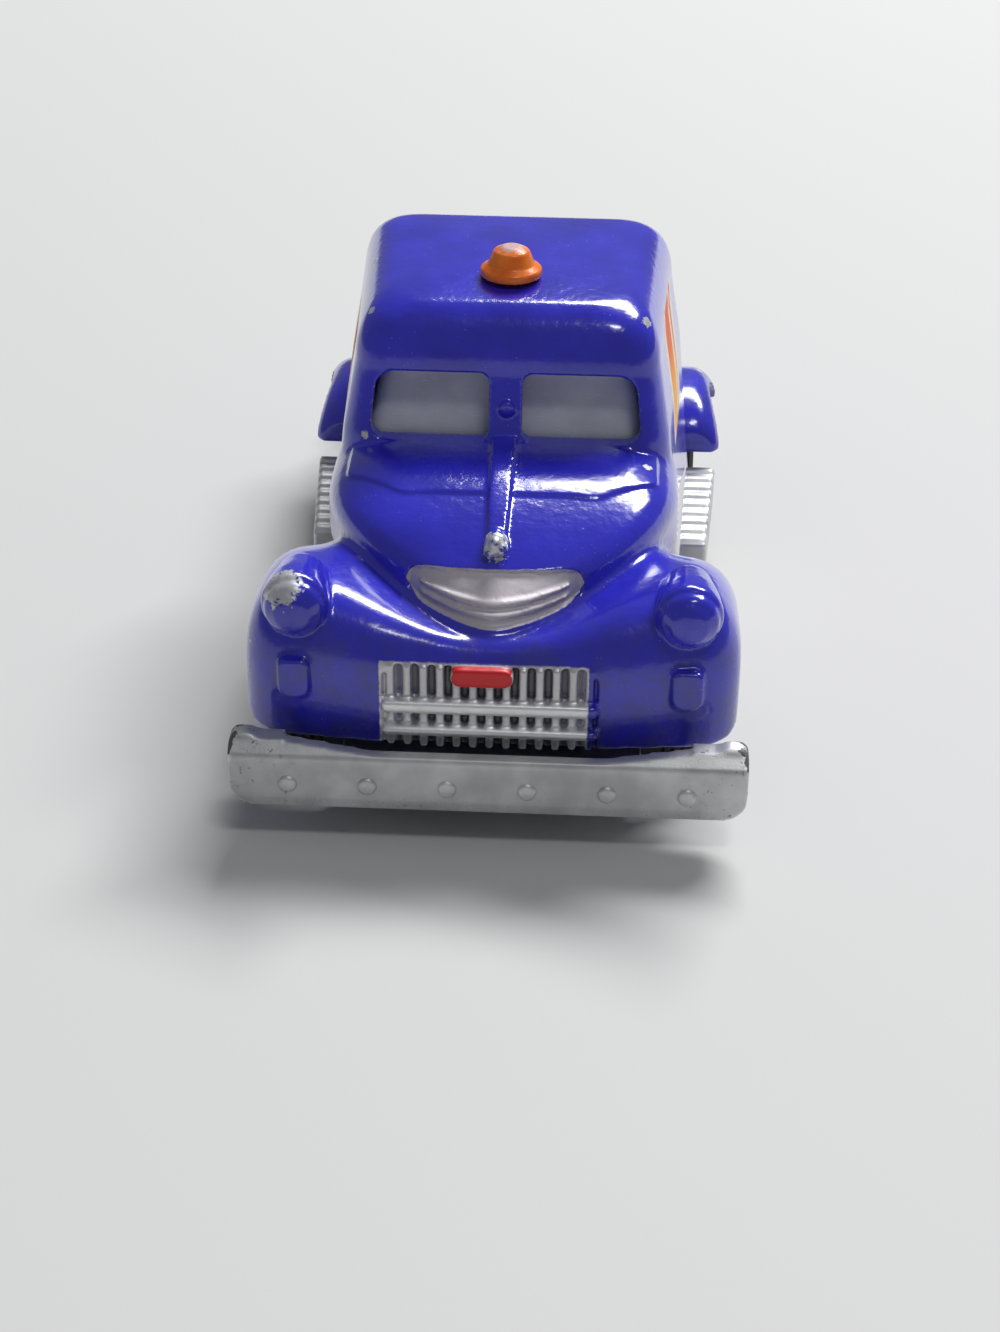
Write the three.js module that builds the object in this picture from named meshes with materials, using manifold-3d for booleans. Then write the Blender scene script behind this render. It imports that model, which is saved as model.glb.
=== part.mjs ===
// A small die-cast toy truck: a blue cab casting with pontoon front fenders, a cargo bed casting behind it,
// a grey base with the bumpers and side steps, a window insert, a cab interior, a beacon and four wheels.
// Millimetres, +Z up, the front towards -Y. Stations are counted rearwards from the front bumper's face,
// and the group at the end moves them so that the origin lies on the ground under the truck's middle.
import * as THREE from "three";
import { mergeVertices } from "three/addons/utils/BufferGeometryUtils.js";
import Module from "manifold-3d";

const wasm = await Module();
wasm.setup();

// Layout along the truck
const FRONT_OVERHANG = 11;
const WHEEL_BASE = 36.8;
const REAR_OVERHANG = 16;
const CAB_FRONT = 20;
const CAB_LENGTH = 22;

// Fits: between seated pieces, round an axle, round a tyre
const SEAT_GAP = 0.3;
const AXLE_GAP = 0.1;
const TYRE_GAP = 0.5;

// Castings and mouldings
const WALL = 1.3;
const GLASS = 0.8;

// Wheels and axles
const TYRE_DIAMETER = 9.8;
const TYRE_WIDTH = 3.6;
const TYRE_INSET = 1.9;
const RIM_DIAMETER = 5.8;
const AXLE_DIAMETER = 1.1;
const NAIL_HEAD_DIAMETER = 2;
const WHEEL_SIDES = 22;

// Cab: widths are across the back of the cab, and the front is narrower by the taper on each side
const CAB_SILL_HEIGHT = 6.8;
const BELT_HEIGHT = 18.2;
const HEADER_HEIGHT = 22.7;
const ROOF_HEIGHT = 26.8;
const ROOF_CROWN = 0.35;
const CAB_SILL_WIDTH = 26.4;
const CAB_BELT_WIDTH = 24;
const CAB_HEADER_WIDTH = 22.4;
const CAB_FRONT_TAPER = 1.2;
const SCREEN_RAKE = 1.2;
const SCREEN_POST_WIDTH = 2.2;
const PILLAR_WIDTH = 1.8;

// Hood and fenders
const APRON_HEIGHT = 12.5;
const APRON_BOTTOM = 5.6;
const FENDER_HEIGHT = 15;
const FENDER_WIDTH = 31;
const FENDER_TAIL = 7.8;
const HOOD_WIDTH = 23.4;
const HOOD_NOSE = 4.6;
const LAMP_DIAMETER = 4.2;
const LAMP_SPACING = 24;
const GRILLE_WIDTH = 13.3;
const GRILLE_RIBS = 13;

// Cargo bed
const BED_WIDTH = 22;
const BED_WALL_HEIGHT = 5.4;
const REAR_FENDER_FOOT = 7.4;
const REAR_FENDER_RIM = 1.2;
const REAR_FENDER_CROWN = 0.9;
const BED_RIBS = 4;

// Base
const BASE_DROP = 0.95;
const BASE_THICKNESS = 1.1;
const BUMPER_WIDTH = 32;
const BUMPER_HEIGHT = 4.4;
const BUMPER_DEPTH = 2.2;
const BUMPER_BUMPS = 6;
const BUMP_RISE = 0.22;
const STEP_LENGTH = 12.6;
const STEP_RIBS = 9;
const RIVET_DIAMETER = 1.9;

// Beacon
const BEACON_DIAMETER = 4.1;
const BEACON_HEIGHT = 2;
const BEACON_STATION = 27.4;

// Stations and heights that follow from the sizes above
const LENGTH = FRONT_OVERHANG + WHEEL_BASE + REAR_OVERHANG;
const FRONT_AXLE = FRONT_OVERHANG;
const REAR_AXLE = FRONT_OVERHANG + WHEEL_BASE;
const CAB_BACK = CAB_FRONT + CAB_LENGTH;
const BED_FRONT = CAB_BACK + SEAT_GAP;
const BED_BACK = LENGTH - BUMPER_DEPTH - 1.6;
const TYRE_RADIUS = TYRE_DIAMETER / 2;
const AXLE_HEIGHT = TYRE_RADIUS * Math.cos(Math.PI / WHEEL_SIDES);
const AXLE_RADIUS = AXLE_DIAMETER / 2;
const WELL_RADIUS = TYRE_RADIUS + TYRE_GAP;
const TYRE_OUTER = FENDER_WIDTH / 2 - TYRE_INSET;
const TYRE_INNER = TYRE_OUTER - TYRE_WIDTH;
const WELL_INNER = TYRE_INNER - TYRE_GAP;
const BAY_HALF = WELL_INNER - WALL;
const BASE_TOP = AXLE_HEIGHT - BASE_DROP;
const BASE_BOTTOM = BASE_TOP - BASE_THICKNESS;
const APRON_FRONT = BUMPER_DEPTH + SEAT_GAP;
const BED_UNDERSIDE = AXLE_HEIGHT + WELL_RADIUS;
const BED_FLOOR = BED_UNDERSIDE + 1.1;
const BED_TOP = BED_FLOOR + BED_WALL_HEIGHT;
const GLASS_FOOT = BELT_HEIGHT - 1;
const FAR = 3 * LENGTH;

// Makes a solid of a three.js shape for joining and cutting, its faces turned outwards
function solid(geometry) {
  const plain = geometry.index ? geometry.toNonIndexed() : geometry.clone();
  for (const name of Object.keys(plain.attributes)) {
    if (name !== "position") plain.deleteAttribute(name);
  }
  const merged = mergeVertices(plain, 1e-5);
  const corners = Uint32Array.from(merged.index.array);
  const points = Float32Array.from(merged.attributes.position.array);
  const made = new wasm.Manifold(new wasm.Mesh({ numProp: 3, vertProperties: points, triVerts: corners }));
  if (made.volume() > 0) return made;
  for (let i = 0; i < corners.length; i += 3) {
    [corners[i], corners[i + 1]] = [corners[i + 1], corners[i]];
  }
  return new wasm.Manifold(new wasm.Mesh({ numProp: 3, vertProperties: points, triVerts: corners }));
}

// Turns a finished solid back into a three.js shape
function shapeOf(made) {
  const mesh = made.getMesh();
  const points = new Float32Array(mesh.numVert * 3);
  for (let i = 0; i < mesh.numVert; i += 1) {
    for (let axis = 0; axis < 3; axis += 1) {
      points[3 * i + axis] = mesh.vertProperties[mesh.numProp * i + axis];
    }
  }
  const geometry = new THREE.BufferGeometry();
  geometry.setAttribute("position", new THREE.BufferAttribute(points, 3));
  geometry.setIndex(new THREE.BufferAttribute(Uint32Array.from(mesh.triVerts), 1));
  return geometry.toNonIndexed();
}

// A skin over a row of rings of equal count, each end closed by a fan round its middle
function loft(rings) {
  const count = rings[0].length;
  const points = rings.flat();
  const corners = [];
  for (let ring = 0; ring + 1 < rings.length; ring += 1) {
    for (let i = 0; i < count; i += 1) {
      const here = ring * count + i;
      const next = ring * count + ((i + 1) % count);
      corners.push(here, next, next + count, here, next + count, here + count);
    }
  }
  const fan = (start, turned) => {
    const middle = new THREE.Vector3();
    for (let i = 0; i < count; i += 1) middle.addScaledVector(points[start + i], 1 / count);
    points.push(middle);
    for (let i = 0; i < count; i += 1) {
      const pair = [start + i, start + ((i + 1) % count)];
      if (turned) pair.reverse();
      corners.push(pair[0], pair[1], points.length - 1);
    }
  };
  fan(0, true);
  fan((rings.length - 1) * count, false);
  const geometry = new THREE.BufferGeometry().setFromPoints(points);
  geometry.setIndex(corners);
  return solid(geometry);
}

// A closed outline with its corners rounded: each corner is [across, along, radius]
function roundedCorners(corners, steps) {
  const points = [];
  corners.forEach(([x, y, radius], i) => {
    const here = new THREE.Vector2(x, y);
    const before = new THREE.Vector2(...corners[(i + corners.length - 1) % corners.length]);
    const after = new THREE.Vector2(...corners[(i + 1) % corners.length]);
    const back = before.sub(here).normalize();
    const on = after.sub(here).normalize();
    const half = Math.acos(THREE.MathUtils.clamp(back.dot(on), -1, 1)) / 2;
    const reach = radius / Math.tan(half);
    const middle = here.clone().addScaledVector(back.clone().add(on).normalize(), radius / Math.sin(half));
    const from = here.clone().addScaledVector(back, reach).sub(middle);
    const to = here.clone().addScaledVector(on, reach).sub(middle);
    const sweep = Math.atan2(from.x * to.y - from.y * to.x, from.dot(to));
    for (let step = 0; step <= steps; step += 1) {
      const turned = from.clone().rotateAround(new THREE.Vector2(), (sweep * step) / steps);
      points.push(turned.add(middle));
    }
  });
  return points;
}

// An outline pushed along one axis, from one station to another
const ACROSS = new THREE.Matrix4().makeBasis(
  new THREE.Vector3(0, 1, 0), new THREE.Vector3(0, 0, 1), new THREE.Vector3(1, 0, 0));
const UPRIGHT = new THREE.Matrix4();

function push(axes, points, from, to) {
  const options = { depth: to - from, bevelEnabled: false };
  const geometry = new THREE.ExtrudeGeometry(new THREE.Shape(points), options);
  geometry.translate(0, 0, from);
  return solid(geometry.applyMatrix4(axes));
}

function flat(pairs) {
  return pairs.map(([a, b]) => new THREE.Vector2(a, b));
}

function block(x0, x1, y0, y1, z0, z1) {
  return push(UPRIGHT, flat([[x0, y0], [x1, y0], [x1, y1], [x0, y1]]), z0, z1);
}

function roundedBlock(x0, x1, y0, y1, z0, z1, radius) {
  const corners = [[x0, y0, radius], [x1, y0, radius], [x1, y1, radius], [x0, y1, radius]];
  return push(UPRIGHT, roundedCorners(corners, 3), z0, z1);
}

// A turned piece: pairs are [radius, place along the axis]
function turned(pairs, sides, closed) {
  const points = flat(closed ? [...pairs, pairs[0]] : pairs);
  return new THREE.LatheGeometry(points, sides, Math.PI / sides);
}

function turnedAcross(pairs, sides, y, z, closed = false) {
  return solid(turned(pairs, sides, closed).rotateZ(-Math.PI / 2).translate(0, y, z));
}

function turnedUp(pairs, sides, x, y, closed = false) {
  return solid(turned(pairs, sides, closed).rotateX(Math.PI / 2).translate(x, y, 0));
}

// Pairs for turnedForward run rearwards from the named point
function turnedForward(pairs, sides, x, y, z) {
  return solid(turned(pairs, sides, false).translate(x, y, z));
}

function joined(pieces) {
  return wasm.Manifold.union(pieces);
}

function both(make) {
  return [make(1), make(-1)];
}

function smooth(value, from, to) {
  return THREE.MathUtils.smoothstep(value, from, to);
}

function bend(value, power) {
  return Math.sign(value) * Math.abs(value) ** power;
}

// How far a rounded edge has drawn in, at a distance past where its curve begins
function drawnIn(past, reach, rise) {
  const part = THREE.MathUtils.clamp(past / reach, 0, 1);
  return rise * (1 - Math.sqrt(1 - part * part));
}

const mid = THREE.MathUtils.lerp;

// Cab: plan rings stacked from the sill to the roof, drawn in by an inset for the inner skins
function cabHalf(height) {
  if (height <= BELT_HEIGHT) {
    const part = Math.max((height - CAB_SILL_HEIGHT) / (BELT_HEIGHT - CAB_SILL_HEIGHT), 0);
    return mid(CAB_SILL_WIDTH, CAB_BELT_WIDTH, part) / 2;
  }
  const part = Math.min((height - BELT_HEIGHT) / (HEADER_HEIGHT - BELT_HEIGHT), 1);
  return mid(CAB_BELT_WIDTH, CAB_HEADER_WIDTH, part) / 2;
}

function cabRing(height, half, front, back, inset) {
  const nose = Math.max(2.6 - inset, 0.4);
  const tail = Math.max(1.9 - inset, 0.4);
  const corners = [
    [half - CAB_FRONT_TAPER, front, nose],
    [half, back, tail],
    [-half, back, tail],
    [-half + CAB_FRONT_TAPER, front, nose],
  ];
  return roundedCorners(corners, 4).map((point) => new THREE.Vector3(point.x, point.y, height));
}

function cabSkin(inset, foot) {
  const rings = [];
  const top = ROOF_HEIGHT - inset;
  const header = mid(BELT_HEIGHT, HEADER_HEIGHT, (top - BELT_HEIGHT) / (ROOF_HEIGHT - BELT_HEIGHT));
  for (const height of [foot, BELT_HEIGHT]) {
    rings.push(cabRing(height, cabHalf(height) - inset, CAB_FRONT + inset, CAB_BACK - inset, inset));
  }
  const raked = CAB_FRONT + SCREEN_RAKE + inset;
  rings.push(cabRing(header, CAB_HEADER_WIDTH / 2 - inset, raked, CAB_BACK - inset, inset));
  for (let step = 1; step <= 5; step += 1) {
    const angle = (step * Math.PI) / 10;
    const drawn = 1 - Math.cos(angle);
    const half = CAB_HEADER_WIDTH / 2 - inset - 2.7 * drawn;
    const height = header + (top - header) * Math.sin(angle);
    rings.push(cabRing(height, half, raked + 3.4 * drawn, CAB_BACK - inset - 2.4 * drawn, inset));
  }
  const crown = rings.at(-1).map((point) => {
    const centre = new THREE.Vector3(0, (CAB_FRONT + CAB_BACK) / 2, 0);
    const drawn = point.clone().lerp(centre, 0.45);
    return drawn.setZ(top + ROOF_CROWN);
  });
  rings.push(crown);
  return loft(rings);
}

// Hood: plan rings stacked from the apron to the belt, pointed low down and broad at the top
const HOOD_FOOT = APRON_HEIGHT - 1;
const HOOD_SPRING = APRON_HEIGHT;
const HOOD_TOP = BELT_HEIGHT + 0.15;

function hoodSkin(inset, foot) {
  const rings = [];
  const parts = [0, 0.16, 0.32, 0.46, 0.58, 0.69, 0.79, 0.87, 0.94, 0.985];
  const ring = (part, height) => {
    const half = (HOOD_WIDTH / 2 - inset) * (1 - part ** 4) ** 0.25;
    const reach = (CAB_FRONT - HOOD_NOSE - inset) * (1 - part ** 1.65) ** (1 / 1.65);
    const power = 1.5 + 2.4 * part * part;
    const back = CAB_FRONT + 3;
    const points = [new THREE.Vector3(half, back, height), new THREE.Vector3(-half, back, height)];
    for (let step = 0; step <= 14; step += 1) {
      const angle = ((step - 7) * Math.PI) / 14;
      const x = half * bend(Math.sin(angle), 2 / power);
      const y = CAB_FRONT - reach * bend(Math.cos(angle), 2 / power);
      points.push(new THREE.Vector3(x, y, height));
    }
    return points;
  };
  rings.push(ring(0, foot));
  for (const part of parts) {
    rings.push(ring(part, HOOD_SPRING + (HOOD_TOP - inset - HOOD_SPRING) * part));
  }
  return loft(rings);
}

// Apron and front fenders: rings in the side plane, strung across the truck from fender to fender
const FENDER_HALF = FENDER_WIDTH / 2;
const FENDER_SOFT = 3.4;
const FENDER_CROWN = FENDER_HALF - FENDER_SOFT;
const FENDER_SHOULDER = mid(CAB_SILL_HEIGHT, FENDER_HEIGHT, 0.45);

function apronTop(out) {
  if (out <= FENDER_CROWN) return mid(APRON_HEIGHT, FENDER_HEIGHT, smooth(out, 1, FENDER_CROWN));
  return FENDER_HEIGHT - drawnIn(out - FENDER_CROWN, FENDER_SOFT + 0.02, FENDER_HEIGHT - FENDER_SHOULDER);
}

function apronFront(out) {
  const bowed = APRON_FRONT + 1.3 * (out / FENDER_HALF) ** 2;
  return bowed + drawnIn(out - FENDER_HALF + 2.6, 2.62, 2.6);
}

function apronBottom(out) {
  return APRON_BOTTOM + drawnIn(out - FENDER_HALF + 0.9, 0.92, 0.8);
}

function apronRing(x) {
  const out = Math.abs(x);
  const share = smooth(out, 2, FENDER_CROWN);
  const top = apronTop(out);
  const front = apronFront(out);
  const bottom = apronBottom(out);
  const drawn = drawnIn(out - FENDER_HALF + 2.6, 2.62, 0.8);
  const tail = mid(CAB_FRONT + 2, FRONT_AXLE + FENDER_TAIL, share) - drawn;
  const crown = mid(front + 1.3, FRONT_AXLE - 3.3, share);
  const spring = Math.min(mid(APRON_HEIGHT - 1.1, 9, share), mid(bottom, top, 0.5));
  const square = mid(2, 2.5, share);
  const sweep = mid(9, 2, share);
  const points = [[tail, bottom], [front, bottom]];
  for (let step = 0; step <= 5; step += 1) {
    const angle = (step * Math.PI) / 10;
    const y = crown - (crown - front) * bend(Math.cos(angle), 2 / square);
    points.push([y, spring + (top - spring) * bend(Math.sin(angle), 2 / square)]);
  }
  for (let step = 1; step <= 6; step += 1) {
    const angle = (step * Math.PI) / 12;
    const y = crown + (tail - crown) * bend(Math.sin(angle), 2 / sweep);
    const foot = mid(bottom, top, 0.08);
    points.push([y, foot + (top - foot) * bend(Math.cos(angle), 2 / sweep)]);
  }
  return points.map(([y, z]) => new THREE.Vector3(x, y, z));
}

function apronSkin() {
  const outs = [0.22, 0.42, 0.58, 0.7, 0.8, 0.87, 0.92, 0.96, 0.985, 0.998].map((part) => part * FENDER_HALF);
  const stations = [...outs.map((out) => -out).reverse(), 0, ...outs];
  return loft(stations.map(apronRing));
}

// Inner skins share one foot below the base, so that their walls stay parallel
const INNER_FOOT = BASE_BOTTOM - 2;
const cabOuter = cabSkin(0, CAB_SILL_HEIGHT);
const cabInner = cabSkin(WALL, INNER_FOOT);
const hoodOuter = hoodSkin(0, HOOD_FOOT);
const apronOuter = apronSkin();

// Room for the tyres, with the axle's way through the walls beside them
function wheelRoom(axle) {
  const rooms = both((side) => {
    const pairs = [[0, WELL_INNER], [WELL_RADIUS, WELL_INNER], [WELL_RADIUS, FAR], [0, FAR]];
    const room = turnedAcross(pairs, 24, axle, AXLE_HEIGHT);
    return side > 0 ? room : room.mirror([1, 0, 0]);
  });
  const way = AXLE_RADIUS + SEAT_GAP;
  return joined([...rooms, block(-FAR, FAR, axle - way, axle + way, -FAR, AXLE_HEIGHT + way)]);
}

// Keepers hang from a casting and close the bearing slots over an axle
function keepers(axle, roof) {
  const foot = AXLE_HEIGHT + AXLE_RADIUS + AXLE_GAP;
  return both((side) => {
    const near = side * (BAY_HALF - 2.4);
    const far = side * (BAY_HALF - 1);
    return block(Math.min(near, far), Math.max(near, far), axle - 0.5, axle + 0.5, foot, roof);
  });
}

// A hollow post with a blind hole for a rivet
const RIVET_RADIUS = RIVET_DIAMETER / 2;
const RIVET_HEAD = 1.84 * RIVET_RADIUS;
const RIVET_SEAT = BASE_BOTTOM + 0.41 * BASE_THICKNESS;
const POST_RADIUS = RIVET_RADIUS + WALL;
const POST_FOOT = BASE_TOP + SEAT_GAP;
const RIVET_REACH = mid(POST_FOOT, BED_FLOOR, 0.615);

function post(station, roof) {
  const stem = [[0, POST_FOOT], [POST_RADIUS, POST_FOOT], [POST_RADIUS, roof], [0, roof]];
  const radius = RIVET_RADIUS + AXLE_GAP;
  const end = RIVET_REACH + 0.3;
  const hole = [[0, POST_FOOT - 1], [radius, POST_FOOT - 1], [radius, end], [0, end]];
  return { outer: turnedUp(stem, 14, 0, station), hole: turnedUp(hole, 14, 0, station) };
}

// Raised and sunk details on the hood follow its own skin
const hoodLow = hoodSkin(0.35, HOOD_FOOT);
const hoodHigh = hoodSkin(-0.5, HOOD_FOOT);
const hoodEdge = hoodSkin(-0.16, HOOD_FOOT);

function crescent(half, topEnd, topMid, lowMid, lowEnd) {
  const points = [];
  for (let step = 0; step <= 10; step += 1) {
    const part = -1 + step / 5;
    points.push([part * half, topMid + (topEnd - topMid) * part * part]);
  }
  for (let step = 10; step >= 0; step -= 1) {
    const part = -1 + step / 5;
    points.push([part * half, lowMid + (lowEnd - lowMid) * part * part]);
  }
  return flat(points);
}

// The outline across the truck, pushed rearwards from in front of the bumper
const FACING = new THREE.Matrix4().makeBasis(
  new THREE.Vector3(1, 0, 0), new THREE.Vector3(0, 0, 1), new THREE.Vector3(0, -1, 0));

function smile() {
  const low = APRON_HEIGHT;
  const opening = push(FACING, crescent(5.4, low + 2.7, low + 2.9, low + 0.45, low + 1.1), -CAB_FRONT, 2);
  const bars = [0.95, 1.5].map((rise) => {
    const points = crescent(4.3, low + rise + 0.62, low + rise + 0.25, low + rise, low + rise + 0.37);
    return push(FACING, points, -CAB_FRONT, 2);
  });
  return opening.subtract(joined(bars)).subtract(hoodLow);
}

function spine() {
  const nose = mid(HOOD_NOSE, CAB_FRONT, 0.28);
  const points = flat([[-0.55, nose], [0.55, nose], [0.85, CAB_FRONT + 1], [-0.85, CAB_FRONT + 1]]);
  return push(UPRIGHT, points, APRON_HEIGHT, FAR).intersect(hoodHigh);
}

function cowlPanel() {
  const start = CAB_FRONT - 6;
  const half = CAB_BELT_WIDTH / 2 - 1.9;
  const points = flat([[-0.62 * half, start], [0.62 * half, start], [half, start + 2.6],
    [half, CAB_FRONT + 1], [-half, CAB_FRONT + 1], [-half, start + 2.6]]);
  return push(UPRIGHT, points, APRON_HEIGHT, FAR).intersect(hoodEdge);
}

function ornament() {
  const pairs = [[0, 0], [0.45, 0.1], [0.75, 0.5], [0.82, 1.2], [0.55, 2.1], [0, 2.8]];
  const y = mid(HOOD_NOSE, CAB_FRONT, 0.24);
  return turnedForward(pairs, 10, 0, y, mid(HOOD_SPRING, HOOD_TOP, 0.684));
}

// Lower grille: a sunk field in the apron, upright ribs and two crossbars standing in it
const GRILLE_HALF = GRILLE_WIDTH / 2;
const GRILLE_TOP = APRON_HEIGHT - 1.15;
const GRILLE_BACK = APRON_FRONT + 0.75;
const GRILLE_PITCH = GRILLE_WIDTH / GRILLE_RIBS;

function grilleField() {
  const corners = [[-GRILLE_HALF, APRON_BOTTOM - 1, 0.2], [GRILLE_HALF, APRON_BOTTOM - 1, 0.2],
    [GRILLE_HALF, GRILLE_TOP, 1], [-GRILLE_HALF, GRILLE_TOP, 1]];
  return push(FACING, roundedCorners(corners, 3), -GRILLE_BACK, 2);
}

function grilleBars() {
  const bars = [];
  for (let rib = 0; rib < GRILLE_RIBS; rib += 1) {
    const x = -GRILLE_HALF + GRILLE_PITCH * (rib + 0.5);
    const half = GRILLE_PITCH * 0.24;
    const points = flat([[x - half, APRON_BOTTOM], [x + half, APRON_BOTTOM], [x + half, GRILLE_TOP],
      [x - half, GRILLE_TOP]]);
    bars.push(push(FACING, points, -GRILLE_BACK - 0.4, -APRON_FRONT - 0.12 - apronBow(x)));
  }
  const rise = GRILLE_TOP - APRON_BOTTOM;
  for (const [low, high] of [[0.45, 0.6], [0.17, 0.28]]) {
    const points = flat([[-GRILLE_HALF, APRON_BOTTOM + low * rise], [GRILLE_HALF, APRON_BOTTOM + low * rise],
      [GRILLE_HALF, APRON_BOTTOM + high * rise], [-GRILLE_HALF, APRON_BOTTOM + high * rise]]);
    bars.push(push(FACING, points, -GRILLE_BACK - 0.4, -APRON_FRONT - 0.02));
  }
  return joined(bars);
}

function apronBow(x) {
  return 1.3 * (x / FENDER_HALF) ** 2;
}

function badgeBoss() {
  const z = GRILLE_TOP - 0.55;
  const half = 0.29 * GRILLE_HALF;
  const x = -0.07 * GRILLE_HALF;
  const corners = [[x - half, z - 0.62, 0.5], [x + half, z - 0.62, 0.5], [x + half, z + 0.62, 0.5],
    [x - half, z + 0.62, 0.5]];
  return push(FACING, roundedCorners(corners, 3), -GRILLE_BACK - 0.4, -APRON_FRONT + 0.22);
}

// Lamps on the fenders
const LAMP_RADIUS = LAMP_DIAMETER / 2;
const LAMP_HEIGHT = FENDER_HEIGHT - 0.4;

function headlamp(side) {
  const r = LAMP_RADIUS;
  const pairs = [[0, -0.62 * r], [0.45 * r, -0.52 * r], [0.78 * r, -0.24 * r], [0.9 * r, 0],
    [r, 0], [r, 0.3 * r], [0.92 * r, 0.9 * r], [0.7 * r, 2 * r], [0, 2.9 * r]];
  return turnedForward(pairs, 16, (side * LAMP_SPACING) / 2, FRONT_AXLE - 7, LAMP_HEIGHT);
}

function parkingLamp(side) {
  const x = side * (LAMP_SPACING / 2 + 0.1);
  const z = LAMP_HEIGHT - 4.6;
  const corners = [[x - 1, z - 1.3, 0.8], [x + 1, z - 1.3, 0.8], [x + 1, z + 1.4, 0.5],
    [x - 1, z + 1.4, 0.5]];
  const face = apronFront(Math.abs(x));
  return push(FACING, roundedCorners(corners, 3), -face - 0.6, -face + 0.55);
}

// Openings in the cab for its windows
const SCREEN_LOW = BELT_HEIGHT + 0.15;
const SCREEN_HALF = CAB_BELT_WIDTH / 2 - CAB_FRONT_TAPER - PILLAR_WIDTH;
const SCREEN_RISE = HEADER_HEIGHT - SCREEN_LOW;
const PANE_CORNERS = [0.145, 0.215, 0.335, 0.17].map((part) => part * SCREEN_RISE);
const LOW_CORNER = 0.215 * SCREEN_RISE;
const HIGH_CORNER = 0.29 * SCREEN_RISE;

function windows() {
  const panes = both((side) => {
    const inner = side * (SCREEN_POST_WIDTH / 2);
    const outer = side * SCREEN_HALF;
    const high = side * (SCREEN_HALF - 0.5);
    const places = [[inner, SCREEN_LOW], [outer, SCREEN_LOW], [high, HEADER_HEIGHT], [inner, HEADER_HEIGHT]];
    const corners = places.map((pair, i) => [...pair, PANE_CORNERS[i]]);
    return push(FACING, roundedCorners(corners, 3), -CAB_FRONT - 5, -CAB_FRONT + 2);
  });
  const half = 0.633 * (CAB_BELT_WIDTH / 2);
  const rear = roundedCorners([[-half, SCREEN_LOW, LOW_CORNER], [half, SCREEN_LOW, LOW_CORNER],
    [half - 0.4, HEADER_HEIGHT, HIGH_CORNER], [-half + 0.4, HEADER_HEIGHT, HIGH_CORNER]], 3);
  return joined([...panes, push(FACING, rear, -CAB_BACK - 3, -CAB_BACK + 4)]);
}

// The cab casting
const FRONT_POST = CAB_FRONT - 2.4;
const cabPost = post(FRONT_POST, HOOD_TOP);
const ceiling = ROOF_HEIGHT - WALL;
const pegHole = [[0, ceiling - 1], [0.8, ceiling - 1], [0.8, FAR], [0, FAR]];
const beaconHole = turnedUp(pegHole, 16, 0, BEACON_STATION);
const bayRoof = APRON_HEIGHT - WALL;
const engineBay = joined([
  block(-BAY_HALF, BAY_HALF, GRILLE_BACK + WALL, CAB_FRONT + WALL, INNER_FOOT, bayRoof),
  hoodSkin(WALL, INNER_FOOT)
    .intersect(block(-BAY_HALF, BAY_HALF, GRILLE_BACK + WALL, CAB_FRONT + 2.9, -FAR, FAR)),
]);
const cabBlank = joined([
  cabOuter, hoodOuter, apronOuter, cowlPanel(), spine(), ornament(), ...both(headlamp),
]);
const cabHollows = joined([cabInner, engineBay, wheelRoom(FRONT_AXLE), wheelRoom(REAR_AXLE), windows()]);
const cabShell = cabBlank.subtract(cabHollows).subtract(smile()).subtract(grilleField());
const cabFurniture = joined([
  grilleBars(), badgeBoss(), ...both(parkingLamp), cabPost.outer.intersect(hoodSkin(0.4, POST_FOOT)),
  ...keepers(FRONT_AXLE, bayRoof + 0.4),
  ...keepers(FRONT_AXLE, HOOD_TOP).map((keeper) => keeper.intersect(hoodSkin(0.4, POST_FOOT))),
]);
const cabBody = cabShell.add(cabFurniture).subtract(cabPost.hole).subtract(beaconHole);

// The cargo bed casting
const BED_HALF = BED_WIDTH / 2;

function rearFenderRing(x) {
  const out = Math.abs(x);
  const drawn = drawnIn(out - FENDER_HALF + 2.2, 2.22, 1);
  const room = Math.sqrt(WELL_RADIUS ** 2 - (REAR_FENDER_FOOT - AXLE_HEIGHT) ** 2);
  const half = (room + REAR_FENDER_RIM) * (1 - 0.2 * drawn);
  const foot = REAR_FENDER_FOOT;
  const top = mid(BED_UNDERSIDE + REAR_FENDER_CROWN, foot + 0.4, drawn);
  const points = [];
  for (let step = 0; step <= 12; step += 1) {
    const angle = (step * Math.PI) / 12;
    const y = REAR_AXLE + half * bend(Math.cos(angle), 2 / 2.3);
    points.push(new THREE.Vector3(x, y, foot + (top - foot) * bend(Math.sin(angle), 2 / 2.3)));
  }
  return points;
}

function rearFender(side) {
  const outs = [2.2, 1.2, 0.6, 0.2, 0].map((inset) => FENDER_HALF - inset);
  return loft([BED_HALF - 1, ...outs].map((out) => rearFenderRing(side * out)));
}

function bedRibs() {
  const ribs = [];
  const reach = BED_BACK - BED_FRONT;
  for (let rib = 0; rib < BED_RIBS; rib += 1) {
    const y = BED_FRONT + 1.6 + ((reach - 3.2) * rib) / (BED_RIBS - 1);
    const corners = [[-BED_HALF - 0.45, y - 0.6, 0.25], [BED_HALF + 0.45, y - 0.6, 0.25],
      [BED_HALF + 0.45, y + 0.6, 0.25], [-BED_HALF - 0.45, y + 0.6, 0.25]];
    ribs.push(push(UPRIGHT, roundedCorners(corners, 2), CAB_SILL_HEIGHT + 0.8, BED_TOP - 0.4));
  }
  const rail = 0.4;
  const half = BED_HALF + rail;
  ribs.push(roundedBlock(-half, half, BED_FRONT, BED_BACK + rail, BED_TOP - 1.1, BED_TOP, 0.9));
  return ribs;
}

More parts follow.
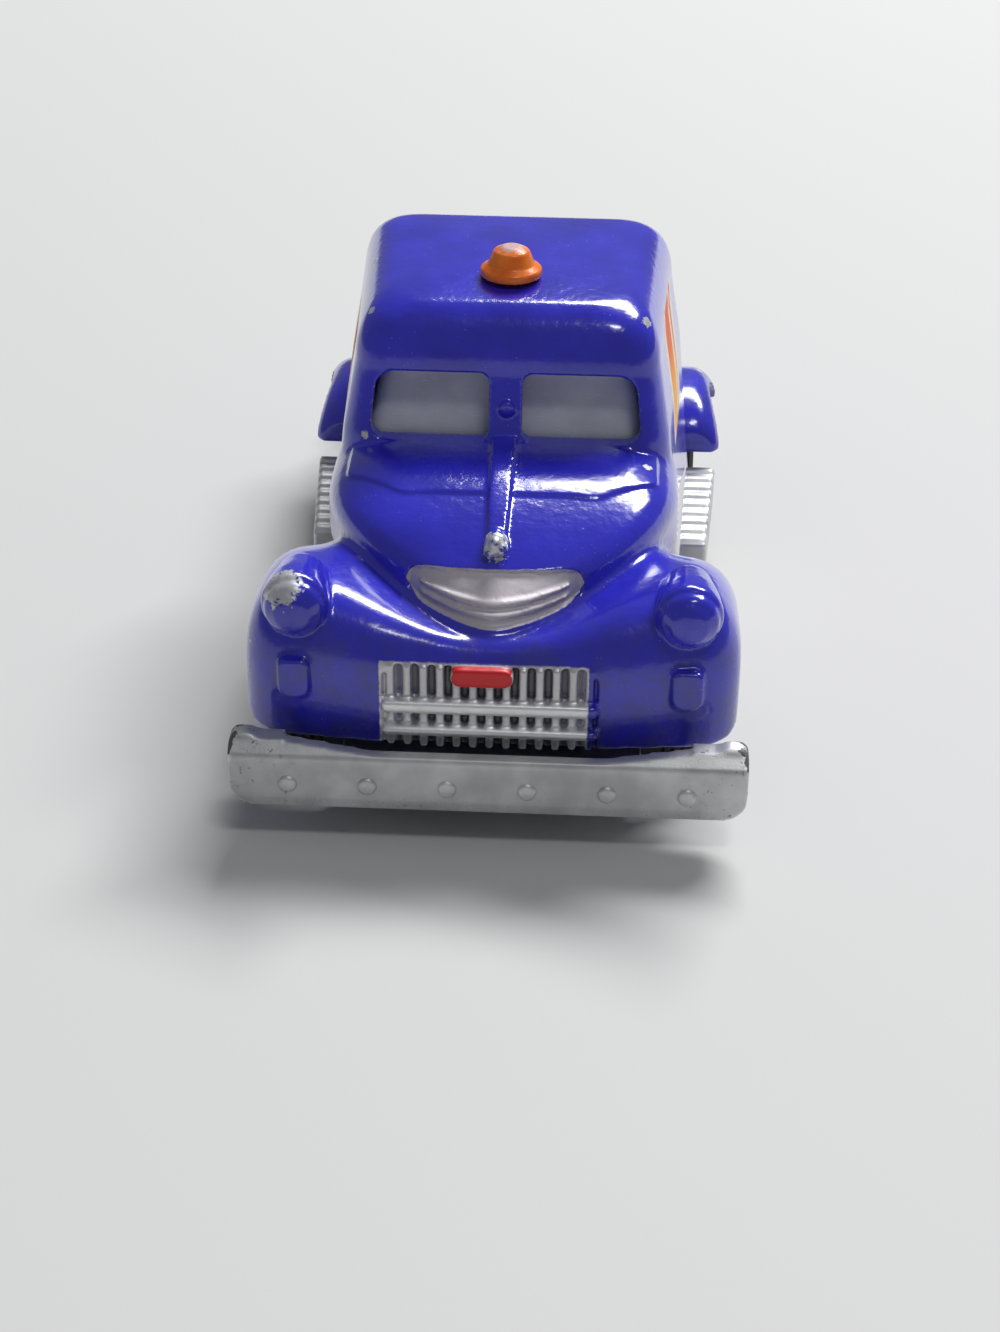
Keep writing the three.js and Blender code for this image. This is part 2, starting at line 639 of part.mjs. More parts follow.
function tailDetails() {
  const face = -BED_BACK - 0.4;
  const panel = [[-BED_HALF + 2.6, BED_FLOOR - 3.4, 0.6], [BED_HALF - 2.6, BED_FLOOR - 3.4, 0.6],
    [BED_HALF - 2.6, BED_TOP - 1.8, 0.6], [-BED_HALF + 2.6, BED_TOP - 1.8, 0.6]];
  const lamps = both((side) => {
    const pairs = [[0, -1], [0.85, -1], [0.85, 0.3], [0.5, 0.6], [0, 0.7]];
    return turnedForward(pairs, 14, side * (BED_HALF - 1.3), BED_BACK, BED_FLOOR - 2);
  });
  return [push(FACING, roundedCorners(panel, 3), face, -BED_BACK + 0.6), ...lamps];
}

function bedFloorRibs() {
  const ribs = [];
  for (let rib = -3; rib <= 3; rib += 1) {
    const x = (rib * (BED_HALF - WALL)) / 3.6;
    const from = BED_FRONT + WALL - 0.2;
    ribs.push(block(x - 0.3, x + 0.3, from, BED_BACK - WALL + 0.2, BED_FLOOR - 0.3, BED_FLOOR + 0.3));
  }
  return ribs;
}

const REAR_POST = mid(REAR_AXLE + WELL_RADIUS, BED_BACK, 0.32);
const bedPost = post(REAR_POST, BED_FLOOR - 0.4);
const bedInside = BED_HALF - WALL;
const bedBlank = joined([
  roundedBlock(-BED_HALF, BED_HALF, BED_FRONT, BED_BACK, CAB_SILL_HEIGHT, BED_TOP, 1),
  ...both(rearFender), ...bedRibs(), ...tailDetails(),
]).intersect(block(-FAR, FAR, BED_FRONT, FAR, -FAR, FAR));
const bedHollows = joined([
  roundedBlock(-bedInside, bedInside, BED_FRONT + WALL, BED_BACK - WALL, BED_FLOOR, FAR, 0.6),
  block(-BAY_HALF, BAY_HALF, BED_FRONT + WALL, BED_BACK - WALL, -FAR, BED_UNDERSIDE),
  wheelRoom(REAR_AXLE),
]);
const cargoBed = joined([
  bedBlank.subtract(bedHollows), bedPost.outer, ...bedFloorRibs(), ...keepers(REAR_AXLE, BED_UNDERSIDE + 0.4),
]).subtract(bedPost.hole);

// The base: a plate waisted round the wheels, bearing blocks, bumpers and side steps
function plateOutline() {
  const narrow = TYRE_INNER - TYRE_GAP;
  const wide = CAB_SILL_WIDTH / 2 - 0.8;
  const tail = BED_HALF - 0.4;
  const room = WELL_RADIUS + 0.6;
  const half = [
    [narrow, BUMPER_DEPTH - 0.4], [narrow, FRONT_AXLE + room], [wide, FRONT_AXLE + room + 1.2],
    [wide, REAR_AXLE - room - 1.2], [narrow, REAR_AXLE - room], [narrow, REAR_AXLE + room],
    [tail, REAR_AXLE + room + 1.2], [tail, LENGTH - BUMPER_DEPTH + 0.4],
  ];
  return flat([...half, ...half.map(([x, y]) => [-x, y]).reverse()]);
}

function bearings(axle) {
  const slot = AXLE_RADIUS + AXLE_GAP;
  const blocks = both((side) => {
    const near = side * (BAY_HALF - 3);
    const far = side * (BAY_HALF - SEAT_GAP);
    return block(Math.min(near, far), Math.max(near, far), axle - 1.9, axle + 1.9, BASE_TOP - 0.2,
      AXLE_HEIGHT + AXLE_RADIUS + 0.7);
  });
  const points = [[axle - slot, FAR], [axle - slot, AXLE_HEIGHT]];
  for (let step = 1; step < 8; step += 1) {
    const angle = (step * Math.PI) / 8;
    points.push([axle - slot * Math.cos(angle), AXLE_HEIGHT - slot * Math.sin(angle)]);
  }
  points.push([axle + slot, AXLE_HEIGHT], [axle + slot, FAR]);
  return joined(blocks).subtract(push(ACROSS, flat(points), -FAR, FAR));
}

const BUMPER_LOW = CAB_SILL_HEIGHT + 0.1 - BUMPER_HEIGHT;
const BUMPER_HALF = BUMPER_WIDTH / 2;

function frontBumper() {
  const high = BUMPER_LOW + BUMPER_HEIGHT;
  const lip = high + 0.3;
  const corners = [[-BUMPER_HALF, BUMPER_LOW, 1.6], [BUMPER_HALF, BUMPER_LOW, 1.6], [BUMPER_HALF, lip, 0.7],
    [BUMPER_HALF - 1.2, lip, 0.4], [BUMPER_HALF - 2, high, 0.3], [-BUMPER_HALF + 2, high, 0.3],
    [-BUMPER_HALF + 1.2, lip, 0.4], [-BUMPER_HALF, lip, 0.7]];
  const face = push(FACING, roundedCorners(corners, 3), -BUMPER_DEPTH, 0);
  const side = roundedCorners([[0.25, BUMPER_LOW - 0.4, 0.3], [BUMPER_DEPTH, BUMPER_LOW - 0.4, 0.1],
    [BUMPER_DEPTH, high + 1, 0.1], [1.6, high + 1, 0.1], [0.8, high - 0.1, 0.5], [0, high - 0.7, 0.5],
    [0, BUMPER_LOW + 0.7, 0.5]], 3);
  const bar = face.intersect(push(ACROSS, side, -FAR, FAR));
  const pitch = (BUMPER_WIDTH - 7.4) / (BUMPER_BUMPS - 1);
  const bumps = [];
  for (let bump = 0; bump < BUMPER_BUMPS; bump += 1) {
    const x = (bump - (BUMPER_BUMPS - 1) / 2) * pitch;
    const pairs = [[0, -BUMP_RISE], [0.36, -0.7 * BUMP_RISE], [0.58, 0], [0.58, 0.6], [0, 0.6]];
    bumps.push(turnedForward(pairs, 10, x, 0, BUMPER_LOW + 0.4 * BUMPER_HEIGHT));
  }
  return joined([bar, ...bumps]);
}

function tailBumper() {
  const half = BED_HALF + 1.4;
  const high = CAB_SILL_HEIGHT + 0.4;
  const low = BASE_BOTTOM - 0.3;
  const back = LENGTH;
  const front = back - BUMPER_DEPTH;
  const corners = [[-half, front, 0.3], [half, front, 0.3], [half, back, 0.8], [-half, back, 0.8]];
  return push(UPRIGHT, roundedCorners(corners, 3), low, high);
}

function sideStep(side) {
  const back = REAR_AXLE - WELL_RADIUS - SEAT_GAP;
  const front = back - STEP_LENGTH;
  const top = CAB_SILL_HEIGHT - SEAT_GAP - 0.25;
  const near = CAB_SILL_WIDTH / 2 - WALL + 0.1;
  const outer = FENDER_HALF - 0.3;
  const plan = (inset) => flat([[side * near, front + inset], [side * (outer - 1 - inset), front + inset],
    [side * (outer - inset), back - inset], [side * near, back - inset]]);
  const tread = push(UPRIGHT, plan(0), BASE_BOTTOM + 0.2, top);
  const ribs = [];
  for (let rib = 0; rib < STEP_RIBS; rib += 1) {
    const y = front + (STEP_LENGTH * (rib + 0.5)) / STEP_RIBS;
    const half = (0.24 * STEP_LENGTH) / STEP_RIBS;
    ribs.push(block(-FAR, FAR, y - half, y + half, top - 0.2, top + 0.25));
  }
  return tread.add(joined(ribs).intersect(push(UPRIGHT, plan(0.15), 0, FAR)));
}

function rivetHole(station) {
  const radius = RIVET_RADIUS + AXLE_GAP;
  const sunk = RIVET_HEAD + AXLE_GAP;
  const pairs = [[0, BASE_BOTTOM - 1], [sunk, BASE_BOTTOM - 1], [sunk, RIVET_SEAT], [radius, RIVET_SEAT],
    [radius, BASE_TOP + 1], [0, BASE_TOP + 1]];
  return turnedUp(pairs, 14, 0, station);
}

const rails = both((side) => {
  const x = 0.73 * side * WELL_INNER;
  const from = FRONT_AXLE - WELL_RADIUS - 0.6;
  const to = mid(REAR_AXLE, LENGTH - BUMPER_DEPTH, 0.65);
  return block(x - 0.6, x + 0.6, from, to, BASE_BOTTOM - 0.5, BASE_BOTTOM + 0.3);
});
const basePlate = joined([
  push(UPRIGHT, plateOutline(), BASE_BOTTOM, BASE_TOP), bearings(FRONT_AXLE), bearings(REAR_AXLE),
  frontBumper(), tailBumper(), ...both(sideStep), ...rails,
]).subtract(joined([rivetHole(FRONT_POST), rivetHole(REAR_POST)]));

// The window insert: one clear shell inside the cab's upper half
const glassOuter = cabSkin(WALL + SEAT_GAP, GLASS_FOOT);
const glassInner = cabSkin(WALL + SEAT_GAP + GLASS, GLASS_FOOT - 2);
const windowInsert = glassOuter.subtract(glassInner);

// The cab interior: a tub with a bench, a dash and a steering wheel; its rim carries the window insert
const tubFloor = BASE_TOP + SEAT_GAP;
const tubRim = GLASS_FOOT - SEAT_GAP;
const tubBlank = cabSkin(WALL + SEAT_GAP, INNER_FOOT);
const tubSkin = tubBlank.intersect(block(-FAR, FAR, CAB_FRONT + 2.4, FAR, tubFloor, tubRim));
const tubRoom = cabSkin(WALL + SEAT_GAP + 1, INNER_FOOT)
  .intersect(block(-FAR, FAR, CAB_FRONT + 3.4, FAR, tubFloor + 1.2, FAR));
const benchBack = CAB_BACK - WALL - SEAT_GAP - 0.6;
const benchFront = benchBack - 0.364 * CAB_LENGTH;
const benchHalf = 0.75 * (CAB_BELT_WIDTH / 2);
const seatHeight = mid(tubFloor, tubRim, 0.38);
const benchCorners = [[benchFront, tubFloor + 0.6, 0.3], [benchBack, tubFloor + 0.6, 0.3],
  [benchBack, tubRim - 0.6, 0.6], [mid(benchBack, benchFront, 0.3), tubRim - 0.6, 0.8],
  [mid(benchBack, benchFront, 0.375), seatHeight + 0.4, 0.4], [benchFront, seatHeight, 0.9]];
const bench = push(ACROSS, roundedCorners(benchCorners, 2), -benchHalf, benchHalf);
const dashLow = mid(tubRim, tubFloor, 0.335);
const dashHalf = CAB_BELT_WIDTH / 2 - 2.6;
const dashCorners = [[CAB_FRONT + 2.8, dashLow, 0.2], [CAB_FRONT + 4.6, dashLow + 0.2, 0.4],
  [CAB_FRONT + 5.4, tubRim - 0.6, 0.5], [CAB_FRONT + 2.8, tubRim, 0.2]];
const dash = push(ACROSS, roundedCorners(dashCorners, 2), -dashHalf, dashHalf);

function steering() {
  const tilt = new THREE.Matrix4().makeRotationX(-0.97);
  tilt.setPosition(CAB_BELT_WIDTH / 4.6, CAB_FRONT + 7, tubRim - 2);
  const ring = new THREE.TorusGeometry(1.9, 0.32, 8, 20).applyMatrix4(tilt);
  const shaft = new THREE.CylinderGeometry(0.4, 0.4, 5.6, 10).translate(0, -2.5, 0);
  const spoke = new THREE.CylinderGeometry(0.28, 0.28, 3.8, 8).rotateZ(Math.PI / 2);
  const lean = new THREE.Matrix4().makeRotationX(0.6);
  lean.setPosition(CAB_BELT_WIDTH / 4.6, CAB_FRONT + 7, tubRim - 2);
  return joined([solid(ring), solid(shaft.applyMatrix4(lean)), solid(spoke.applyMatrix4(lean))]);
}

const cabInterior = joined([tubSkin.subtract(tubRoom), bench.add(dash).intersect(tubBlank), steering()])
  .subtract(wheelRoom(REAR_AXLE));

// The beacon, with a peg in the roof's hole
const beaconFoot = ROOF_HEIGHT + ROOF_CROWN + 0.06;
const beaconRadius = BEACON_DIAMETER / 2;
const peg = [[0, ceiling + 0.2], [0.62, ceiling + 0.2], [0.62, beaconFoot]];
const domeShares = [[1, 0], [1, 0.3], [0.72, 0.46], [0.56, 0.86], [0.4, 1], [0, 1]];
const dome = domeShares.map(([out, up]) => [out * beaconRadius, beaconFoot + up * BEACON_HEIGHT]);
const roofBeacon = turnedUp([...peg, ...dome], 20, 0, BEACON_STATION);

// Wheels: a tyre on a hub, on an axle with nail heads
const hubOut = TYRE_OUTER - 0.4;
const hubIn = TYRE_INNER + 0.3;
const rimRadius = RIM_DIAMETER / 2;
const hubFace = hubOut - 0.75;
const nailRadius = NAIL_HEAD_DIAMETER / 2;

function tyre(side, axle) {
  const r = TYRE_RADIUS;
  const soft = 0.9;
  const groove = TYRE_WIDTH / 8;
  const centre = (TYRE_OUTER + TYRE_INNER) / 2;
  const pairs = [[rimRadius, TYRE_INNER], [r - soft, TYRE_INNER], [r - 0.2, TYRE_INNER + 0.35],
    [r, TYRE_INNER + soft], [r, centre - groove], [r - 0.35, centre - groove * 0.7],
    [r - 0.35, centre + groove * 0.7], [r, centre + groove], [r, TYRE_OUTER - soft],
    [r - 0.2, TYRE_OUTER - 0.35], [r - soft, TYRE_OUTER], [rimRadius, TYRE_OUTER]];
  const made = turnedAcross(pairs, WHEEL_SIDES, axle, AXLE_HEIGHT, true);
  return side > 0 ? made : made.mirror([1, 0, 0]);
}

function hub(side, axle) {
  const bore = AXLE_RADIUS + AXLE_GAP;
  const seat = rimRadius - AXLE_GAP;
  const boss = nailRadius + 0.55;
  const pairs = [[bore, hubIn], [seat, hubIn], [seat, hubOut], [seat - 0.55, hubOut], [seat - 0.85, hubFace],
    [boss, hubFace], [boss - 0.3, hubOut - 0.25], [nailRadius + 0.12, hubOut - 0.25],
    [nailRadius + 0.12, hubFace - 0.3], [bore, hubFace - 0.3]];
  const made = turnedAcross(pairs, WHEEL_SIDES, axle, AXLE_HEIGHT, true);
  return side > 0 ? made : made.mirror([1, 0, 0]);
}

function axleShaft(axle) {
  const head = hubFace - 0.3 + AXLE_GAP;
  const end = head + 0.75;
  const pairs = [[0, -end], [0.6 * nailRadius, -end + 0.06], [nailRadius, -end + 0.35], [nailRadius, -head],
    [AXLE_RADIUS, -head], [AXLE_RADIUS, head], [nailRadius, head], [nailRadius, end - 0.35],
    [0.6 * nailRadius, end - 0.06], [0, end]];
  return turnedAcross(pairs, 16, axle, AXLE_HEIGHT);
}

function rivet(station) {
  const seat = RIVET_SEAT - AXLE_GAP;
  const rise = 0.34 * RIVET_HEAD;
  const pairs = [[0, seat - rise], [0.6 * RIVET_HEAD, seat - 0.83 * rise], [RIVET_HEAD, seat - 0.25 * rise],
    [RIVET_HEAD, seat], [RIVET_RADIUS, seat], [RIVET_RADIUS, RIVET_REACH], [0, RIVET_REACH]];
  return turnedUp(pairs, 14, 0, station);
}

// Paints and plastics
const blue = { color: 0x23239c, metalness: 0.1, roughness: 0.28 };
const silver = { color: 0x9a9fa3, metalness: 0.5, roughness: 0.45 };
const rubber = { color: 0x141416, metalness: 0, roughness: 0.75 };
const chrome = { color: 0xc2c5c9, metalness: 0.8, roughness: 0.3 };
const steel = { color: 0xa9adb2, metalness: 0.9, roughness: 0.35 };
const inside = { color: 0x232427, metalness: 0, roughness: 0.7 };
const smoke = { color: 0x5c6066, metalness: 0, roughness: 0.12, transparent: true, opacity: 0.55 };
const amber = { color: 0xf0791c, metalness: 0, roughness: 0.35 };

const truck = new THREE.Group();
truck.name = "toy_truck";
truck.position.y = -(LENGTH - BUMP_RISE) / 2;

function place(name, made, finish) {
  const mesh = new THREE.Mesh(shapeOf(made), new THREE.MeshStandardMaterial(finish));
  mesh.name = name;
  truck.add(mesh);
}

place("cab_body", cabBody, blue);
place("cargo_bed", cargoBed, blue);
place("base_plate", basePlate, silver);
place("window_insert", windowInsert, smoke);
place("cab_interior", cabInterior, inside);
place("roof_beacon", roofBeacon, amber);
place("front_axle", axleShaft(FRONT_AXLE), steel);
place("rear_axle", axleShaft(REAR_AXLE), steel);
place("front_rivet", rivet(FRONT_POST), steel);
place("rear_rivet", rivet(REAR_POST), steel);
for (const [end, axle] of [["front", FRONT_AXLE], ["rear", REAR_AXLE]]) {
  for (const [hand, side] of [["left", 1], ["right", -1]]) {
    place(`tyre_${end}_${hand}`, tyre(side, axle), rubber);
    place(`hub_${end}_${hand}`, hub(side, axle), chrome);
  }
}

export default truck;
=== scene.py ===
# %% [markdown]
# # A die-cast toy truck
#
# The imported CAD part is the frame: it says where each piece sits and which body it rides on.
# This lesson builds the finer looks round that frame: smooth castings in chipped blue enamel,
# a satin grey base, smoky windows, rubber tyres and an orange beacon.

# %% Frame
import math

import bmesh
import bpy
from mathutils import Matrix, Vector


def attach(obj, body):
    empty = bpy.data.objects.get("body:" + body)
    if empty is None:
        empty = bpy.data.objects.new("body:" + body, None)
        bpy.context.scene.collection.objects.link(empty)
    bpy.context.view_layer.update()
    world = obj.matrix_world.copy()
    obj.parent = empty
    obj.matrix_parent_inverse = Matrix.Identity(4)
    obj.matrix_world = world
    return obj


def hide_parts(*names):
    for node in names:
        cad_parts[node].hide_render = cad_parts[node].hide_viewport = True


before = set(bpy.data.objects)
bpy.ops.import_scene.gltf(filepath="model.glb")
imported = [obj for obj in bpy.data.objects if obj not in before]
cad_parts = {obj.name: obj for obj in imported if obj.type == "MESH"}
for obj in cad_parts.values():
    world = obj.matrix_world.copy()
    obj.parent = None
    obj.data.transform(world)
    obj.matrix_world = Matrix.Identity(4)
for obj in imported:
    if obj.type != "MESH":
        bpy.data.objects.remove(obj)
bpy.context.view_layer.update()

# %% [markdown]
# ## Measures
#
# Shapes are worked out in millimetres. Stations run rearwards from the front bumper's face, and heights
# run up from the ground, as in the CAD part. Metres would do too, but these numbers can be checked on the
# toy. A piece is moved to the frame's own place once its shape is done.

# %% Measures
LENGTH = 63.8
BUMP_RISE = 0.22
TO_ROW = Matrix.Scale(0.001, 4) @ Matrix.Translation((0, -(LENGTH - BUMP_RISE) / 2, 0))
FRONT_AXLE, REAR_AXLE, AXLE_HEIGHT = 11.0, 47.8, 4.85
WALL = 1.3
CAB_FRONT, CAB_BACK = 20.0, 42.0
SILL, BELT, HEADER, ROOF, CROWN = 6.8, 18.2, 22.7, 26.8, 0.35
SILL_HALF, BELT_HALF, HEADER_HALF = 13.2, 12.0, 11.2
APRON_TOP, APRON_BOTTOM, APRON_FRONT = 12.5, 5.6, 2.5
FENDER_TOP, FENDER_HALF, FENDER_SOFT = 15.0, 15.5, 3.4
HOOD_HALF, HOOD_NOSE, HOOD_TOP = 11.7, 4.6, 18.35
GRILLE_HALF, GRILLE_TOP = 6.65, 11.35
BASE_TOP, BASE_BOTTOM = 3.9, 2.8
print("The truck is", LENGTH, "mm long and its cab", CAB_BACK - CAB_FRONT, "mm")

# %% [markdown]
# ## Small tools
#
# Every blank starts in one of three ways. A skin is a grid wrapped round a row of rings, for forms that
# swell. A slab is an outline pushed along an axis, for plates and cutters. A turned piece is a profile spun
# round an axis. Each could be pulled by hand in the editor, but here a size can be read and changed.

# %% Shapes
ALONG = {
    "x": lambda a, b, along: Vector((along, a, b)),
    "y": lambda a, b, along: Vector((a, along, b)),
    "z": lambda a, b, along: Vector((a, b, along)),
}
TOUCHING = 1e-4
SHARP = 0.7


def linked(name, bm):
    mesh = bpy.data.meshes.new(name)
    bm.to_mesh(mesh)
    bm.free()
    obj = bpy.data.objects.new(name, mesh)
    bpy.context.collection.objects.link(obj)
    return obj


def faced(name, bm):
    bmesh.ops.recalc_face_normals(bm, faces=bm.faces)
    return linked(name, bm)


def skin(name, rings):
    rows, columns = len(rings) - 1, len(rings[0])
    bm = bmesh.new()
    bmesh.ops.create_grid(bm, x_segments=columns, y_segments=rows, size=0.5)
    for vert in bm.verts:
        column = round((vert.co.x + 0.5) * columns) % columns
        row = round((vert.co.y + 0.5) * rows)
        vert.co = rings[row][column]
    bmesh.ops.remove_doubles(bm, verts=bm.verts, dist=TOUCHING)
    bmesh.ops.holes_fill(bm, edges=[edge for edge in bm.edges if edge.is_boundary])
    return faced(name, bm)


def slab(name, points, axis, start, stop, soft=0.0):
    place = ALONG[axis]
    bm = bmesh.new()
    face = bm.faces.new([bm.verts.new(place(a, b, start)) for a, b in points])
    pushed = bmesh.ops.extrude_face_region(bm, geom=[face])
    raised = [part for part in pushed["geom"] if isinstance(part, bmesh.types.BMVert)]
    bmesh.ops.translate(bm, verts=raised, vec=place(0, 0, stop - start))
    if soft:
        bmesh.ops.recalc_face_normals(bm, faces=bm.faces)
        sharp = [edge for edge in bm.edges if edge.calc_face_angle(0) > SHARP]
        bmesh.ops.bevel(bm, geom=sharp, offset=soft, offset_type="OFFSET", affect="EDGES", segments=3,
                        profile=0.5, material=-1)
    return faced(name, bm)


def block(name, x0, x1, y0, y1, z0, z1, soft=0.0):
    return slab(name, [(x0, y0), (x1, y0), (x1, y1), (x0, y1)], "z", z0, z1, soft)


def turned(name, profile, axis, centre, steps=72, closed=False):
    place = ALONG[axis]
    bm = bmesh.new()
    line = [bm.verts.new(Vector(centre) + place(radius, 0, along)) for radius, along in profile]
    pairs = list(zip(line, line[1:] + line[:1])) if closed else list(zip(line, line[1:]))
    edges = [bm.edges.new(pair) for pair in pairs]
    bmesh.ops.spin(bm, geom=line + edges, cent=Vector(centre), axis=place(0, 0, 1),
                   angle=2 * math.pi, steps=steps, use_merge=True, use_duplicate=False)
    bmesh.ops.remove_doubles(bm, verts=bm.verts, dist=TOUCHING)
    return faced(name, bm)

# %% [markdown]
# Corners are given with a radius each, and the outline through them is rounded. A bevel could do it later,
# but a round outline cuts cleanly. For a ring it is walked in equal steps, so that every ring of a skin has
# the same count.

# %% Outlines
RING_STEPS = 220


def rounded(corners, steps=8, closed=True):
    points = []
    for i, (a, b, radius) in enumerate(corners):
        here = Vector((a, b))
        if radius <= 0 or (not closed and i in (0, len(corners) - 1)):
            points.append(here)
            continue
        back = (Vector(corners[i - 1][:2]) - here).normalized()
        on = (Vector(corners[(i + 1) % len(corners)][:2]) - here).normalized()
        half = back.angle(on) / 2
        middle = here + (back + on).normalized() * (radius / math.sin(half))
        start = here + back * (radius / math.tan(half)) - middle
        stop = here + on * (radius / math.tan(half)) - middle
        sweep = start.angle_signed(stop)
        for step in range(steps + 1):
            points.append(middle + Matrix.Rotation(-sweep * step / steps, 2) @ start)
    return points


def ring_of(corners, count):
    points = rounded(corners, steps=12)
    lengths = [(points[(i + 1) % len(points)] - point).length for i, point in enumerate(points)]
    step = sum(lengths) / count
    walked, i, ring = 0.0, 0, []
    for number in range(count):
        while walked + lengths[i] < number * step:
            walked += lengths[i]
            i += 1
        share = (number * step - walked) / lengths[i] if lengths[i] else 0
        ring.append(points[i].lerp(points[(i + 1) % len(points)], share))
    return ring


def mirrored(half):
    return half + [(-x, *rest) for x, *rest in reversed(half)]


print("A ring has", RING_STEPS, "points")

# %% [markdown]
# Four small curves shape the forms: a share of the way, a soft step, a circle that can be squared, and a
# quarter circle that draws an edge in. Curve objects could do this, but plain sums can feed any ring.

# %% Curves
def mid(a, b, share):
    return a + (b - a) * share


def smooth(value, start, stop):
    share = min(max((value - start) / (stop - start), 0), 1)
    return share * share * (3 - 2 * share)


def swung(angle, power):
    parts = math.cos(angle), math.sin(angle)
    return [math.copysign(abs(part) ** (2 / power), part) for part in parts]


def drawn_in(past, reach, rise):
    share = min(max(past / reach, 0), 1)
    return rise * (1 - math.sqrt(1 - share * share))

# %% [markdown]
# Forms are joined and cut as solids. Real castings have soft edges and filled corners, from the mould and
# from the enamel. Bevels would have to find every edge, so a casting is melted instead: a fine voxel skin
# runs over it and is relaxed. Thinning then brings its count of triangles down.

# %% Joining and cutting
def baked(obj):
    graph = bpy.context.evaluated_depsgraph_get()
    mesh = bpy.data.meshes.new_from_object(obj.evaluated_get(graph))
    obj.modifiers.clear()
    obj.data = mesh
    return obj


def worked(obj, tool, operation):
    change = obj.modifiers.new("solid", "BOOLEAN")
    change.solver = "MANIFOLD"
    change.operation = operation
    change.object = tool
    baked(obj)
    bpy.data.objects.remove(tool)
    return obj


def cut(obj, *tools):
    for tool in tools:
        worked(obj, tool, "DIFFERENCE")
    return obj


def kept(obj, tool):
    return worked(obj, tool, "INTERSECT")


def joined(name, *objs):
    bm = bmesh.new()
    for obj in objs:
        bm.from_mesh(obj.data)
        bpy.data.objects.remove(obj)
    return linked(name, bm)


# %% Melting and thinning
def melted(obj, voxel, passes):
    change = obj.modifiers.new("skin", "REMESH")
    change.mode = "VOXEL"
    change.voxel_size = voxel
    relax = obj.modifiers.new("relax", "SMOOTH")
    relax.factor = 0.5
    relax.iterations = passes
    return baked(obj)


def thinned(obj, triangles):
    count = sum(len(face.vertices) - 2 for face in obj.data.polygons)
    change = obj.modifiers.new("thin", "DECIMATE")
    change.ratio = min(1.0, triangles / count)
    return baked(obj)

# %% [markdown]
# ## The cab casting
#
# On the toy the cab, hood and front fenders are one casting. It could be sculpted, but its sections are
# plain, so each of the three forms is strung from rings. The cab is a stack of plan rings, narrower at the
# front and drawn in over the roof. The same rings, drawn in, give the room inside and the window shell.

# %% Cab form
NOSE_CORNER, TAIL_CORNER, LEAST_CORNER = 2.6, 1.9, 0.4
FRONT_TAPER, SCREEN_RAKE = 1.2, 1.2
ROOF_SIDE, ROOF_FRONT, ROOF_BACK = 2.7, 3.4, 2.4


def cab_half(height):
    return mid(SILL_HALF, BELT_HALF, max((height - SILL) / (BELT - SILL), 0))


def cab_ring(height, half, front, back, inset):
    nose = max(NOSE_CORNER - inset, LEAST_CORNER)
    tail = max(TAIL_CORNER - inset, LEAST_CORNER)
    corners = [(half - FRONT_TAPER, front, nose), (half, back, tail), (-half, back, tail),
               (-half + FRONT_TAPER, front, nose)]
    return [Vector((point.x, point.y, height)) for point in ring_of(corners, RING_STEPS)]


def cab_rings(inset, foot):
    rings = []
    front, back, top = CAB_FRONT + inset, CAB_BACK - inset, ROOF - inset
    header = mid(BELT, HEADER, (top - BELT) / (ROOF - BELT))
    for step in range(13):
        height = mid(foot, BELT, step / 12)
        rings.append(cab_ring(height, cab_half(height) - inset, front, back, inset))
    for step in range(1, 9):
        share = step / 8
        half = mid(BELT_HALF, HEADER_HALF, share) - inset
        rings.append(cab_ring(mid(BELT, header, share), half, front + SCREEN_RAKE * share, back, inset))
    for step in range(1, 19):
        angle = step * math.pi / 36
        drawn = 1 - math.cos(angle)
        height = header + (top - header) * math.sin(angle)
        rings.append(cab_ring(height, HEADER_HALF - inset - ROOF_SIDE * drawn,
                              front + SCREEN_RAKE + ROOF_FRONT * drawn, back - ROOF_BACK * drawn, inset))
    rim, centre = rings[-1], Vector((0, (CAB_FRONT + CAB_BACK) / 2, 0))
    for step in range(1, 7):
        share = step / 7
        rise = CROWN * (1 - (1 - share) ** 2)
        rings.append([Vector((*point.lerp(centre, share).xy, top + rise)) for point in rim])
    return rings


print("The cab has", len(cab_rings(0, SILL)), "rings")

# %% [markdown]
# The hood is a stack of plan rings too: pointed where it meets the apron, broad where it meets the cab.
# One power takes its outline from a point to a full curve, which is easier to tune than rings set by hand.

# %% Hood form
HOOD_SECTION, HOOD_SLOPE = 4, 1.65
HOOD_POINT, HOOD_FULLNESS = 1.5, 2.4
HOOD_OVERLAP = 3


def hood_ring(part, height, inset):
    half = (HOOD_HALF - inset) * (1 - part**HOOD_SECTION) ** (1 / HOOD_SECTION)
    reach = (CAB_FRONT - HOOD_NOSE - inset) * (1 - part**HOOD_SLOPE) ** (1 / HOOD_SLOPE)
    power = HOOD_POINT + HOOD_FULLNESS * part * part
    back = CAB_FRONT + HOOD_OVERLAP
    ring = [Vector((half, back, height)), Vector((-half, back, height))]
    for step in range(81):
        ahead, aside = swung((step - 40) * math.pi / 80, power)
        ring.append(Vector((half * aside, CAB_FRONT - reach * ahead, height)))
    return ring


def hood_rings(inset):
    parts = [0.985 * math.sin(step * math.pi / 64) for step in range(33)]
    rise = HOOD_TOP - inset - APRON_TOP
    rings = [hood_ring(part, APRON_TOP + rise * part, inset) for part in parts]
    return [hood_ring(0, APRON_TOP - 1, inset)] + rings


print("The hood has", len(hood_rings(0)), "rings")

# %% [markdown]
# The apron and both front fenders are one skin, strung across the truck. Towards each side its rings grow
# from a low apron into a tall fender, and the last ones draw in to round the outside. Fenders made apart
# would leave a seam where the casting has none.

